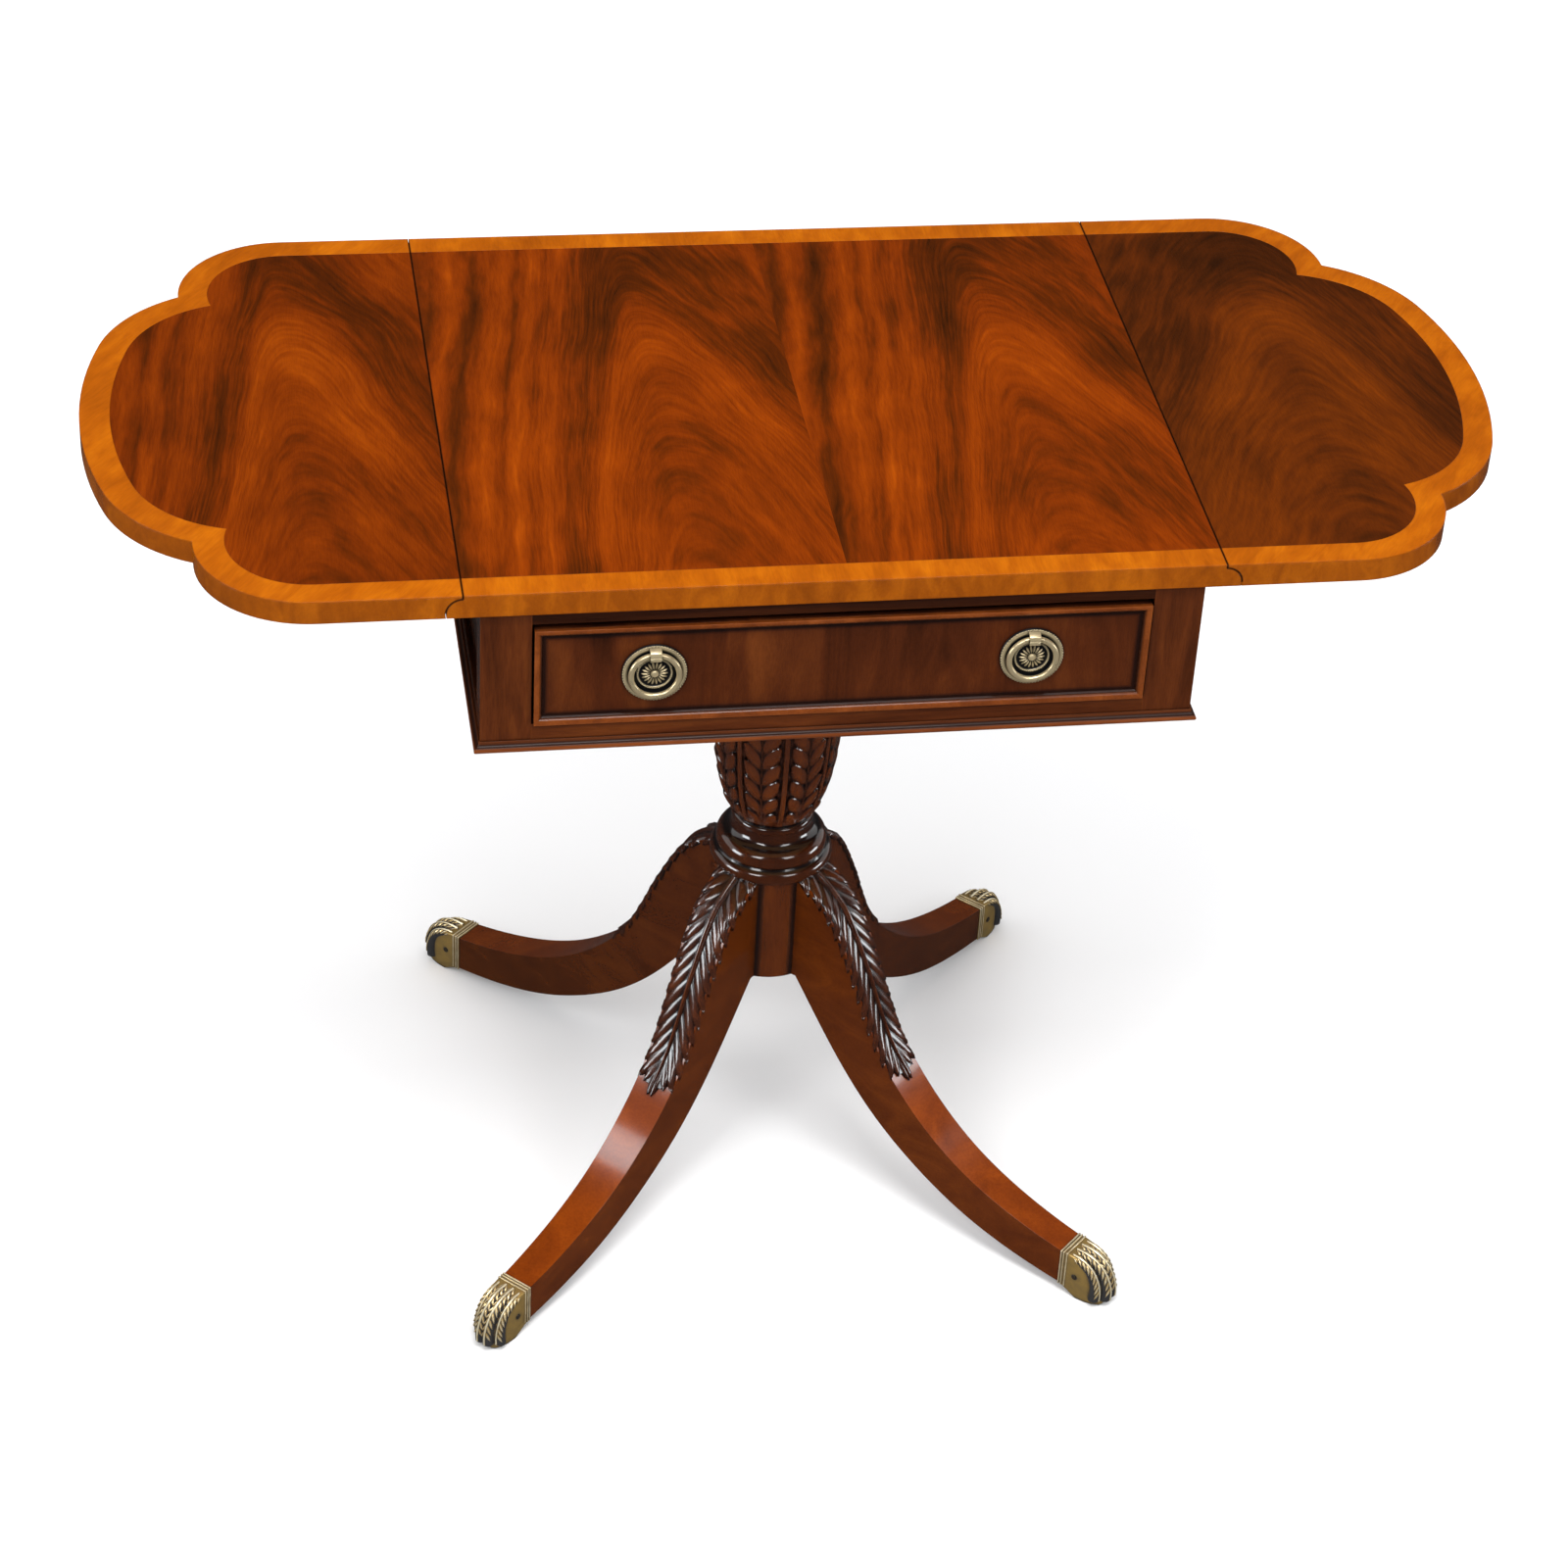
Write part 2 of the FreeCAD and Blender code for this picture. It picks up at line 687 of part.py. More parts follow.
def build_leaves():
    screws = {place: leaf_screws(place) for place in HINGE_PLACES.values()}
    recesses = [rule_cove()]
    for place, driven in screws.items():
        recesses += driven
        recesses.append(box("leaf_plate_recess", ("seam", "seam + hinge_leaf_reach"), hinge_span(place, 1),
                            ("underside - cut_overrun", "plate_roof")))
    wood = ("underside", "veneer_foot")
    core = leaf_sheet("leaf_core_sheet", v("lipping_width"), *wood)
    pair("leaf_core", cut("right_leaf_core", core, *recesses))
    lipping = cut("leaf_lipping_ring", leaf_sheet("leaf_lipping_sheet", 0, *wood), core)
    pair("leaf_lipping", cut("right_leaf_lipping", lipping, rule_cove()))
    skin = ("veneer_foot", "table_height")
    veneer = leaf_sheet("right_leaf_veneer", v("band_width"), *skin)
    pair("leaf_veneer", veneer)
    pair("leaf_band", cut("right_leaf_band", leaf_sheet("leaf_band_sheet", 0, *skin), veneer))
    flaps = [hinge_flap_on_leaf(place, driven) for place, driven in screws.items()]
    pair("leaf_hinge_flaps", group("right_leaf_hinge_flaps", flaps))
    driven = [screw for row in screws.values() for screw in row]
    pair("leaf_hinge_screws", group("right_leaf_hinge_screws", driven))


# The frieze

def moulding_profile(face, outward):
    """The base moulding's section: a cove over a bead, in distance out from a face and in height."""
    lip = face + v("moulding_lip") * outward
    outer = face + (v("moulding_projection") - v("moulding_lip")) * outward
    crest = face + v("moulding_projection") * outward
    foot = v("frieze_foot")
    head = foot + v("moulding_height")
    bead = foot + v("moulding_bead")
    cove = point(lip + (outer - lip) * MOULDING_COVE_SHARES[0],
                 bead + (head - bead) * MOULDING_COVE_SHARES[1])
    return (run(point(face, foot), point(face, head), point(lip, head))
            + arc(point(lip, head), cove, point(outer, bead))
            + arc(point(outer, bead), point(crest, (foot + bead) / 2), point(outer, foot))
            + run(point(outer, foot), point(face, foot)))


def base_moulding(label, plane, profile, span, plan):
    """One length of base moulding, mitred to its plan at both ends."""
    length = prism(label + "_length", plane, profile, negative(span), span)
    mitres = prism(label + "_mitres", "XY", plan, "frieze_foot", "frieze_foot + moulding_height")
    return common(label, length, mitres)


def build_base_mouldings():
    wide = v("moulding_side")
    deep = v("moulding_front")
    inner_wide = v("frieze_side")
    inner_deep = v("frieze_front")
    front_plan = path(point(-wide, -deep), point(wide, -deep), point(inner_wide, -inner_deep),
                      point(-inner_wide, -inner_deep))
    side_plan = path(point(wide, -deep), point(wide, deep), point(inner_wide, inner_deep),
                     point(inner_wide, -inner_deep))
    front_profile = moulding_profile(-inner_deep, -1)
    side_profile = moulding_profile(inner_wide, 1)
    front = base_moulding("front_base_moulding", "YZ", front_profile, "moulding_side", front_plan)
    side = base_moulding("right_base_moulding", "XZ", side_profile, "moulding_front", side_plan)
    rear = mirror("rear_base_moulding", front, ALONG)
    left = mirror("left_base_moulding", side, ACROSS)
    node("base_mouldings", group("base_mouldings", [front, rear, side, left]))


def build_frieze():
    height = ("frieze_foot", "underside")
    inside = ("-opening_side", "opening_side")
    post = box("right_front_post", ("opening_side", "frieze_side"), ("-frieze_front", "-post_back"), height)
    pair("front_post", post)
    rails = ("-frieze_front", "-rail_back")
    node("front_top_rail", box("front_top_rail", inside, rails, ("opening_head", "underside")))
    node("front_bottom_rail", box("front_bottom_rail", inside, rails, ("frieze_foot", "opening_foot")))
    rear = box("rear_apron", ("-frieze_side", "frieze_side"), ("rear_face", "frieze_front"), height)
    node("rear_apron", rear)
    between = ("-post_back", "rear_face")
    pair("side_apron", box("right_side_apron", ("opening_side", "apron_face"), between, height))
    lower = box("right_lower_rail", ("apron_face", "frieze_side"), between, ("frieze_foot", "fly_foot"))
    pair("lower_rail", lower)
    runner = box("drawer_runner", ("runner_side", "opening_side"), ("-rail_back", "rear_face"),
                 ("opening_foot - runner_height", "opening_foot"))
    mirrored_group("drawer_runners", [runner])
    kicker = box("drawer_kicker", ("runner_side", "opening_side"), ("-rail_back", "rear_face"),
                 ("kicker_foot", "underside"))
    mirrored_group("drawer_kickers", [kicker])
    stop = box("drawer_stop", ("stop_spread - stop_length / 2", "stop_spread + stop_length / 2"),
               ("-drawer_front_back", "-drawer_front_back + stop_depth"),
               ("opening_foot", "opening_foot + stop_height"))
    mirrored_group("drawer_stops", [stop])


# The fly brackets

def finger_spans(first):
    """Heights of every other finger of the knuckle, starting at the first asked for."""
    step = "fly_height / %d" % FINGERS
    return [("fly_foot + %d * %s" % (finger, step), "fly_foot + %d * %s" % (finger + 1, step))
            for finger in range(first, FINGERS, 2)]


def fly_outline():
    """A fly bracket from the side: deep at its knuckle, with an ogee underside and a blunt tip."""
    foot = v("fly_foot") + v("fly_gap")
    head = v("underside") - v("fly_gap")
    reach = v("fly_length")
    rise = head - v("fly_tip_height") - foot
    ogee = [point(along * reach, foot + up * rise) for along, up in FLY_OGEE_SHARES]
    tip = point(reach, head - v("fly_tip_height") / 2)
    return (run(point(0, head), point(0, foot), ogee[0]) + curve(ogee) + curve([ogee[-1], tip])
            + run(tip, point(reach, head), point(0, head)))


def build_fly_brackets():
    axis = ("fly_axis", "0")
    heights = ("fly_foot", "underside")
    past = ("fly_foot - cut_overrun", "underside + cut_overrun")
    wide = ("apron_face - cut_overrun", "fly_face + cut_overrun")
    fixed_rail = box("fly_rail_board", ("apron_face", "fly_face"), ("-post_back", "0"), heights)
    fixed_nose = rod("fly_rail_nose", "z", axis, heights, "fly_thickness / 2")
    rooms = [box("fly_finger_room", wide, ("-fly_thickness / 2 - fly_gap", "fly_thickness"),
                 widened(span, "fly_gap / 2")) for span in finger_spans(1)]
    hole = rod("fly_rail_hole", "z", axis, past, "fly_pin_radius")
    pair("fly_rail", cut("right_fly_rail", fuse("fly_rail_blank", fixed_rail, fixed_nose), hole, *rooms))
    arm = prism("fly_arm", "YZ", fly_outline(), "fly_axis - fly_reach", "fly_axis + fly_reach")
    nose = rod("fly_nose", "z", axis, ("fly_foot + fly_gap", "underside - fly_gap"), "fly_reach")
    gaps = [box("fly_finger_gap", wide, ("-fly_thickness", "fly_thickness / 2 + fly_gap"),
                widened(span, "fly_gap / 2")) for span in finger_spans(0)]
    bore = rod("fly_bore", "z", axis, past, "fly_pin_radius + running_clearance")
    pair("fly_bracket", cut("right_fly_bracket", fuse("fly_bracket_blank", arm, nose), bore, *gaps))
    mirrored_group("fly_pins", [rod("fly_pin", "z", axis, heights, "fly_pin_radius")])
    block = box("fly_rear_block", ("apron_face", "fly_face"), ("fly_length + fly_end_gap", "rear_face"),
                heights)
    mirrored_group("fly_rear_blocks", [block])


# The drawer

def panel_moulding_profile(edge, inward, place):
    """The drawer front's frame in section: an outer arris, a round and a fillet down to the panel.

    Each spot is placed by its depth along Y and its distance across the strip."""
    def spot(shares):
        return place(-v("frieze_front") - shares[0] * v("panel_moulding_projection"),
                     edge + shares[1] * v("panel_moulding_width") * inward)
    outer, arris, crest, shoulder, step, fillet, inner = [spot(shares) for shares in PANEL_FRAME_SHARES]
    return run(outer, arris, crest) + arc(crest, shoulder, step) + run(step, fillet, inner, outer)


def panel_strip(label, plane, profile, span, plan):
    """One strip of the drawer front's frame, mitred to its plan at both ends."""
    length = prism(label + "_length", plane, profile, *span)
    mitres = prism(label + "_mitres", "XZ", plan, "frieze_front - cut_overrun",
                   "frieze_front + panel_moulding_projection + cut_overrun")
    return common(label, length, mitres)


def lifted_mirror(label, source, middle):
    """The image of a solid above a level plane."""
    image = mirror(label, source, UPRIGHT)
    bind(image, "Base.z", middle)
    return image


def build_drawer_front_frame():
    side = v("drawer_side")
    foot = v("drawer_foot")
    head = v("drawer_head")
    width = v("panel_moulding_width")
    level = panel_moulding_profile(foot, 1, lambda depth, across: point(depth, across))
    level_plan = path(point(-side, foot), point(side, foot), point(side - width, foot + width),
                      point(-side + width, foot + width))
    lower = panel_strip("panel_strip", "YZ", level, ("-drawer_side", "drawer_side"), level_plan)
    upright = panel_moulding_profile(side, -1, lambda depth, across: point(across, depth))
    upright_plan = path(point(side, foot), point(side, head), point(side - width, head - width),
                        point(side - width, foot + width))
    right = panel_strip("panel_upright", "XY", upright, ("drawer_foot", "drawer_head"), upright_plan)
    upper = lifted_mirror("panel_strip_upper", lower, "(drawer_foot + drawer_head) / 2")
    left = mirror("panel_upright_left", right, ACROSS)
    node("drawer_front_frame", group("drawer_front_frame", [lower, upper, right, left]))


def build_drawer():
    across = ("-drawer_side", "drawer_side")
    floor = box("drawer_bottom", ("-drawer_floor_side", "drawer_floor_side"),
                ("-drawer_floor_front", "drawer_end"), ("drawer_floor", "drawer_floor_top"))
    front = box("drawer_front_board", across, ("-frieze_front", "-drawer_front_back"),
                ("drawer_foot", "drawer_head"))
    bolts = [pull_bolt(sign) for sign in "-+"]
    node("drawer_front", cut("drawer_front", front, floor, *bolts))
    side = box("drawer_side_board", ("drawer_side_inner", "drawer_side"),
               ("-drawer_front_back", "drawer_end"), ("opening_foot", "drawer_side_head"))
    pair("drawer_side", cut("right_drawer_side", side, floor))
    node("drawer_back", box("drawer_back", ("-drawer_side_inner", "drawer_side_inner"),
                            ("drawer_end - drawer_side_thickness", "drawer_end"),
                            ("drawer_floor_top", "drawer_side_head")))
    node("drawer_bottom", floor)
    node("pull_bolts", group("pull_bolts", bolts))


# The ring pulls

def pull_bolt(sign):
    """A bolt through the drawer front, with its nut inside."""
    places = ("%s pull_spread" % sign, "pull_height")
    shank = rod("pull_bolt_shank", "y", places, ("-frieze_front", "-drawer_front_back + pull_nut_height"),
                "pull_bolt_radius")
    nut = rod("pull_nut", "y", places, ("-drawer_front_back", "-drawer_front_back + pull_nut_height"),
              "pull_nut_radius")
    return fuse("pull_bolt", shank, nut)


def pull_plate_profile():
    """Half of a round plate in section: rim, flat for the ring, and a raised rosette."""
    rim = v("pull_plate_radius")
    flat = -v("pull_plate_thickness")
    rim_head = flat - v("pull_rim_height")
    rim_inner = rim - v("pull_rim_width")
    boss = v("pull_boss_radius")
    boss_head = flat - v("pull_boss_height")
    rim_middle = point((rim + rim_inner) / 2, rim_head)
    ball = v("pull_boss_ball")
    half_turn = math.asin(boss / ball) / 2
    dome_middle = point(ball * math.sin(half_turn), boss_head + ball * (1 - math.cos(half_turn)))
    return (run(point(0, 0), point(rim, 0), point(rim, flat))
            + arc(point(rim, flat), rim_middle, point(rim_inner, flat))
            + run(point(rim_inner, flat), point(boss, flat))
            + arc(point(boss, flat), dome_middle, point(0, boss_head))
            + run(point(0, boss_head), point(0, 0)))


def build_pulls():
    plates = []
    for side, sign in (("right", "+"), ("left", "-")):
        across = "%s pull_spread" % sign
        body = new_body(side + "_pull_dish")
        turn(body, draw(body, "XY_Plane", pull_plate_profile()))
        bind(body, "Placement.Base.x", across)
        bind(body, "Placement.Base.y", "-frieze_front")
        bind(body, "Placement.Base.z", "pull_height")
        tab_reach = "pull_eye + pull_tab_wall"
        tab = box(side + "_pull_tab", (across + " - pull_tab_width / 2", across + " + pull_tab_width / 2"),
                  ("-pull_ring_axis - " + tab_reach, "-pull_face + pull_plate_thickness / 2"),
                  ("pull_ring_head - pull_eye - pull_tab_wall", "pull_ring_head + pull_eye + pull_tab_wall"))
        eye = rod(side + "_pull_eye", "x", ("-pull_ring_axis", "pull_ring_head"),
                  (across + " - pull_tab_width", across + " + pull_tab_width"), "pull_eye")
        plates.append(cut(side + "_pull_plate", fuse(side + "_pull_blank", body, tab), eye))
        ring = doc.addObject("Part::Torus", side + "_pull_ring")
        bind(ring, "Radius1", "pull_ring_radius")
        bind(ring, "Radius2", "pull_ring_wire")
        stand(ring, "y", (across, "pull_height"), "-pull_ring_axis")
        node(side + "_pull_ring", ring)
    node("pull_plates", group("pull_plates", plates))


# The pedestal

def shared(shares, radius, height, base):
    """A point at shares of a radius and of a height above a base."""
    return point(shares[0] * radius, base + shares[1] * height)


def hub_profile():
    """The hub's cylinder with the turned collar above it, in radius and height."""
    foot = v("collar_foot")
    rise = v("vase_foot") - foot
    reach = v("collar_radius")
    hub = v("hub_radius")
    ring = rise * COLLAR_RING_SHARE
    ring_head = point(hub, foot + ring)
    fillet = shared(COLLAR_FILLET_SHARES, reach, rise, foot)
    torus_head = shared(COLLAR_TORUS_HEAD_SHARES, reach, rise, foot)
    cove_head = shared(COLLAR_COVE_HEAD_SHARES, reach, rise, foot)
    head = shared(COLLAR_HEAD_SHARES, reach, rise, foot)
    top = v("vase_foot")
    socket = v("spigot_radius")
    return (run(point(0, v("hub_foot")), point(hub, v("hub_foot")), point(hub, foot))
            + arc(point(hub, foot), point(reach, foot + ring / 2), ring_head)
            + run(ring_head, fillet)
            + arc(fillet, shared(COLLAR_TORUS_SHARES, reach, rise, foot), torus_head)
            + arc(torus_head, shared(COLLAR_COVE_SHARES, reach, rise, foot), cove_head)
            + arc(cove_head, shared(COLLAR_BEAD_SHARES, reach, rise, foot), head)
            + run(head, point(head.x, top), point(socket, top), point(socket, top - v("spigot_length")),
                  point(0, top - v("spigot_length")), point(0, v("hub_foot"))))


def vase_profile():
    """The vase from its spigot in the collar to the tenon in the board, in radius and height."""
    foot = v("vase_foot")
    throat = v("frieze_foot") - v("vase_throat_drop")
    rise = throat - foot
    swell = v("vase_belly_radius") - v("vase_foot_radius")
    fall = v("vase_belly_radius") - v("vase_throat_radius")
    lower = [point(v("vase_foot_radius") + out * swell, foot + up * rise) for out, up in VASE_LOWER_SHARES]
    upper = [point(v("vase_throat_radius") + out * fall, foot + up * rise) for out, up in VASE_UPPER_SHARES]
    spread = v("capital_radius") - v("vase_throat_radius")
    capital_foot = v("frieze_foot") - v("capital_height")

    def capital(shares):
        return point(v("vase_throat_radius") + shares[0] * spread,
                     capital_foot + shares[1] * v("capital_height"))
    neck = point(v("vase_throat_radius"), capital_foot)
    bead_head = capital(CAPITAL_NECK_SHARES)
    cove_head = capital(CAPITAL_PLATE_SHARES)
    head = v("frieze_foot")
    tenon = v("tenon_radius")
    spigot = v("spigot_radius")
    return (run(point(0, foot - v("spigot_length")), point(spigot, foot - v("spigot_length")),
                point(spigot, foot), lower[0])
            + curve(lower + upper)
            + run(upper[-1], neck)
            + arc(neck, capital(CAPITAL_BEAD_SHARES), bead_head)
            + arc(bead_head, capital(CAPITAL_COVE_SHARES), cove_head)
            + run(cove_head, point(v("capital_radius"), head), point(tenon, head),
                  point(tenon, v("board_top")), point(0, v("board_top")),
                  point(0, foot - v("spigot_length"))))


def tongue_plan(reach):
    """A leg's dovetail tongue in plan, out to the reach."""
    inner = v("hub_radius") - v("tongue_depth")
    wide = v("tongue_width") / 2
    narrow = v("tongue_neck") / 2
    return path(point(inner, -wide), point(v("hub_radius"), -narrow), point(reach, -narrow),
                point(reach, narrow), point(v("hub_radius"), narrow), point(inner, wide))


LEG_CORNERS = ("rear_right", "rear_left", "front_left", "front_right")


def leg_angle(corner):
    """The bearing of a leg about the column, halfway between the table's sides."""
    return 360 / len(LEG_CORNERS) * (LEG_CORNERS.index(corner) + 1 / 2)


def turned_about_column(solid, corner):
    solid.Placement = FreeCAD.Placement(FreeCAD.Vector(), FreeCAD.Rotation(UPRIGHT, leg_angle(corner)))
    return solid


def build_column():
    board = box("board_blank", ("-board_width / 2", "board_width / 2"), ("-rail_back", "rear_face"),
                ("frieze_foot", "board_top"))
    mortise = rod("board_mortise", "z", ("0", "0"), ("frieze_foot - cut_overrun", "board_top + cut_overrun"),
                  "tenon_radius")
    node("pedestal_board", cut("pedestal_board", board, mortise))
    vase = new_body("vase_column")
    turn(vase, draw(vase, "XZ_Plane", vase_profile()))
    node("vase_column", vase)
    hub = new_body("leg_hub_turning")
    turn(hub, draw(hub, "XZ_Plane", hub_profile()))
    sockets = []
    for corner in LEG_CORNERS:
        plan = tongue_plan(v("hub_radius") + v("cut_overrun"))
        socket = prism("tongue_socket", "XY", plan, "hub_foot - cut_overrun", "hub_foot + tongue_height")
        turned_about_column(socket.Base, corner)
        sockets.append(socket)
    node("leg_hub", cut("leg_hub", hub, *sockets))


def leg_profile():
    """A sabre leg from the side: shoulder at the hub, knee, and the long sweep to the toe."""
    hub = v("hub_radius")
    inner = hub - v("tongue_depth")
    spread = v("leg_reach") - hub
    toe = v("leg_toe_top")
    fall = v("leg_shoulder") - toe
    heel = v("leg_toe_foot")
    rise = v("hub_foot") - heel
    top = [point(hub + along * spread, toe + up * fall) for along, up in LEG_TOP_SHARES]
    foot = [point(hub + along * spread, heel + up * rise) for along, up in LEG_FOOT_SHARES]
    return (run(point(inner, v("hub_foot")), point(inner, v("leg_shoulder")), top[0]) + curve(top)
            + run(top[-1], foot[-1]) + curve(foot[::-1]) + run(foot[0], point(inner, v("hub_foot"))))


def taper_plan(sign):
    """What is planed off one cheek of a leg, in plan."""
    root = v("leg_root_width") / 2 * sign
    toe = v("leg_toe_width") / 2 * sign
    end = v("leg_reach") + v("cut_overrun")
    slope = (toe - root) / (v("leg_reach") - v("hub_radius"))
    far = toe + slope * v("cut_overrun")
    clear = root + v("cut_overrun") * sign
    return path(point(v("hub_radius"), root), point(end, far), point(end, clear),
                point(v("hub_radius"), clear))


def build_leg(name):
    leg = new_body(name + "_leg")
    pad(leg, draw(leg, "XZ_Plane", leg_profile()), "leg_root_width", both_ways=True)
    pocket(leg, draw(leg, "XY_Plane", taper_plan(1) + taper_plan(-1)), "2 * table_height")
    hub = [Part.Circle(point(0, 0), UPRIGHT, v("hub_radius"))]
    pocket(leg, draw(leg, "XY_Plane", hub), "2 * table_height")
    tongue = draw(leg, "XY_Plane", tongue_plan(v("hub_radius") + v("tongue_depth") / 2))
    tongue.AttachmentOffset = FreeCAD.Placement(FreeCAD.Vector(0, 0, v("hub_foot")), FreeCAD.Rotation())
    pad(leg, tongue, "tongue_height")
    tenon = path(point(v("leg_reach") - v("cut_overrun"), v("toe_tenon_foot")),
                 point(v("leg_reach") + v("toe_tenon_length"), v("toe_tenon_foot")),
                 point(v("leg_reach") + v("toe_tenon_length"), v("toe_tenon_foot") + v("toe_tenon_height")),
                 point(v("leg_reach") - v("cut_overrun"), v("toe_tenon_foot") + v("toe_tenon_height")))
    pad(leg, draw(leg, "XZ_Plane", tenon), "toe_tenon_width", both_ways=True)
    return node(name + "_leg", turned_about_column(leg, name))


def paw_profile():
    """A paw cap from the side: over the toes, round to the floor and back under the leg."""
    start = v("leg_reach")
    height = v("leg_toe_top") + v("cap_proud")
    heel = v("leg_toe_foot") - v("cap_proud")
    back = [point(start + along * v("cap_length"), up * height) for along, up in PAW_BACK_SHARES]
    toe = point(start + PAW_SOLE_SHARES[0] * v("cap_length"), 0)
    sole = point(start + PAW_SOLE_SHARES[1] * v("cap_length"), 0)
    tip = point(start + PAW_TOE_SHARES[0] * v("cap_length"), PAW_TOE_SHARES[1] * height)
    return (curve(back) + arc(back[-1], tip, toe) + run(toe, sole, point(start, heel), back[0]))


def paw_waste_plan():
    """What is cut away in plan around the rounded front of a paw."""
    side = v("cap_width") / 2
    front = v("cap_end")
    spring = front - v("cap_length") * PAW_ROUND_SHARE
    far = front + v("cut_overrun")
    clear = side + v("cut_overrun")
    return (arc(point(spring, -side), point(front, 0), point(spring, side))
            + run(point(spring, side), point(spring, clear), point(far, clear), point(far, -clear),
                  point(spring, -clear), point(spring, -side)))


def build_cap(name):
    cap = new_body(name + "_paw_blank")
    pad(cap, draw(cap, "XZ_Plane", paw_profile()), "cap_width", both_ways=True)
    pocket(cap, draw(cap, "XY_Plane", paw_waste_plan()), "2 * table_height")
    start = v("leg_reach")
    low = v("toe_tenon_foot")
    end = start + v("toe_tenon_length")
    room = path(point(start - v("cut_overrun"), low), point(end, low),
                point(end, low + v("toe_tenon_height")),
                point(start - v("cut_overrun"), low + v("toe_tenon_height")))
    pocket(cap, draw(cap, "XZ_Plane", room), "toe_tenon_width")
    height = v("leg_toe_top") + v("cap_proud")
    grooves = []
    first, last = [FreeCAD.Vector(start + along * v("cap_length"), 0, up * height)
                   for along, up in TOE_GROOVE_SHARES]
    for share in TOE_PLACE_SHARES:
        groove = doc.addObject("Part::Cylinder", name + "_toe_groove")
        bind(groove, "Radius", "toe_groove_radius")
        groove.Height = (last - first).Length
        aside = FreeCAD.Vector(0, share * v("cap_width"), 0)
        groove.Placement = FreeCAD.Placement(first + aside, FreeCAD.Rotation(UPRIGHT, last - first))
        grooves.append(groove)
    spans = (("-cap_width / 2", "-toe_tenon_width / 2"), ("toe_tenon_width / 2", "cap_width / 2"))
    screws = [rod(name + "_cap_screw", "y", ("cap_screw_place", "toe_tenon_middle"), span, "cap_screw_radius")
              for span in spans]
    toes = cut(name + "_paw_cap", cap, *grooves, *screws)
    node(name + "_paw_cap", turned_about_column(toes, name))
    return turned_about_column(group(name + "_cap_screws", screws), name)


def build_legs():
    screws = []
    for name in LEG_CORNERS:
        build_leg(name)
        screws.append(build_cap(name))
    node("paw_cap_screws", group("paw_cap_screws", screws))


build_centre()
build_leaves()
build_frieze()
build_base_mouldings()
build_fly_brackets()
build_drawer()
build_drawer_front_frame()
build_pulls()
build_column()
build_legs()
doc.recompute()

# Nothing is written unless every object and every sub-part came out sound
for thing in doc.Objects:
    if "Invalid" in thing.State or "Error" in thing.State:
        raise RuntimeError("failed to build: " + thing.Label)
for solid in NODES:
    if solid.Shape.isNull() or not solid.Shape.isValid() or not solid.Shape.Solids:
        raise RuntimeError("unsound sub-part: " + solid.Label)

os.makedirs("parts", exist_ok=True)
for solid in NODES:
    solid.Shape.exportStep("parts/" + solid.Label + ".step")
print(len(NODES), "sub-parts written")
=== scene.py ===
import bisect
import json
import math

import bpy
from mathutils import Matrix, Vector


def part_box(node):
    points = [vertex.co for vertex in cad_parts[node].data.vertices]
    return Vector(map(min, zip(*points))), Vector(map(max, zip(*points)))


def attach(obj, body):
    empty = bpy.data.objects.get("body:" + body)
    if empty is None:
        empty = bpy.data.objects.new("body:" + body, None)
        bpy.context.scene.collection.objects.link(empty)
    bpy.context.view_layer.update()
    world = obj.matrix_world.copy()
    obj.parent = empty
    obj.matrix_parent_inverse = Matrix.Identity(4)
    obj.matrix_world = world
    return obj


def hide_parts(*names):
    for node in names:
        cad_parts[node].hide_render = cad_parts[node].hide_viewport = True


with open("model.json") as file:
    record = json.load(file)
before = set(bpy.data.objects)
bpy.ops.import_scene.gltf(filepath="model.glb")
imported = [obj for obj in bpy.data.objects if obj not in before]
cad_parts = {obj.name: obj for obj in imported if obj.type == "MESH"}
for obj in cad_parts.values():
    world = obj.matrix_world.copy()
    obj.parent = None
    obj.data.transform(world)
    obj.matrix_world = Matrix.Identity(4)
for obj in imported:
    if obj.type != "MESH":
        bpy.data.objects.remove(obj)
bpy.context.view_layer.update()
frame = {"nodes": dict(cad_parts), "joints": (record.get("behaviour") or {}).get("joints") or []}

# The table's looks: polished mahogany with satinwood crossbands, carved pedestal and cast brass.
NODES = frame["nodes"]
JOINTS = {joint["name"]: joint for joint in frame["joints"]}

# Main places of the table, in metres
SEAM, _, PIN_HEIGHT = JOINTS["right_leaf_hinge"]["pos_m"]
RULE_RADIUS = 0.012
DRAWER_LOW, DRAWER_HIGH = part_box("drawer_front")
FRIEZE_FACE = DRAWER_LOW.y
BASE_LOW, BASE_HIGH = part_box("base_mouldings")
PULL_SPREAD = JOINTS["right_ring_swing"]["pos_m"][0]
PULL_HEIGHT = (DRAWER_LOW.z + DRAWER_HIGH.z) / 2
COLLAR_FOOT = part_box("front_left_leg")[1].z
COLLAR_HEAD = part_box("leg_hub")[1].z
LEG_TURNS = {"rear_right": 45, "rear_left": 135, "front_left": 225, "front_right": 315}


# Small tools for nodes

def put(tree, kind, inputs=None, **settings):
    """Adds a shader node, sets it up and links or sets its inputs."""
    made = tree.nodes.new(kind)
    for name, value in settings.items():
        setattr(made, name, value)
    for key, value in (inputs or {}).items():
        if isinstance(value, bpy.types.NodeSocket):
            tree.links.new(value, made.inputs[key])
        else:
            made.inputs[key].default_value = value
    return made


def calc(tree, operation, *values):
    """One sum on numbers or sockets."""
    return put(tree, "ShaderNodeMath", dict(enumerate(values)), operation=operation).outputs[0]


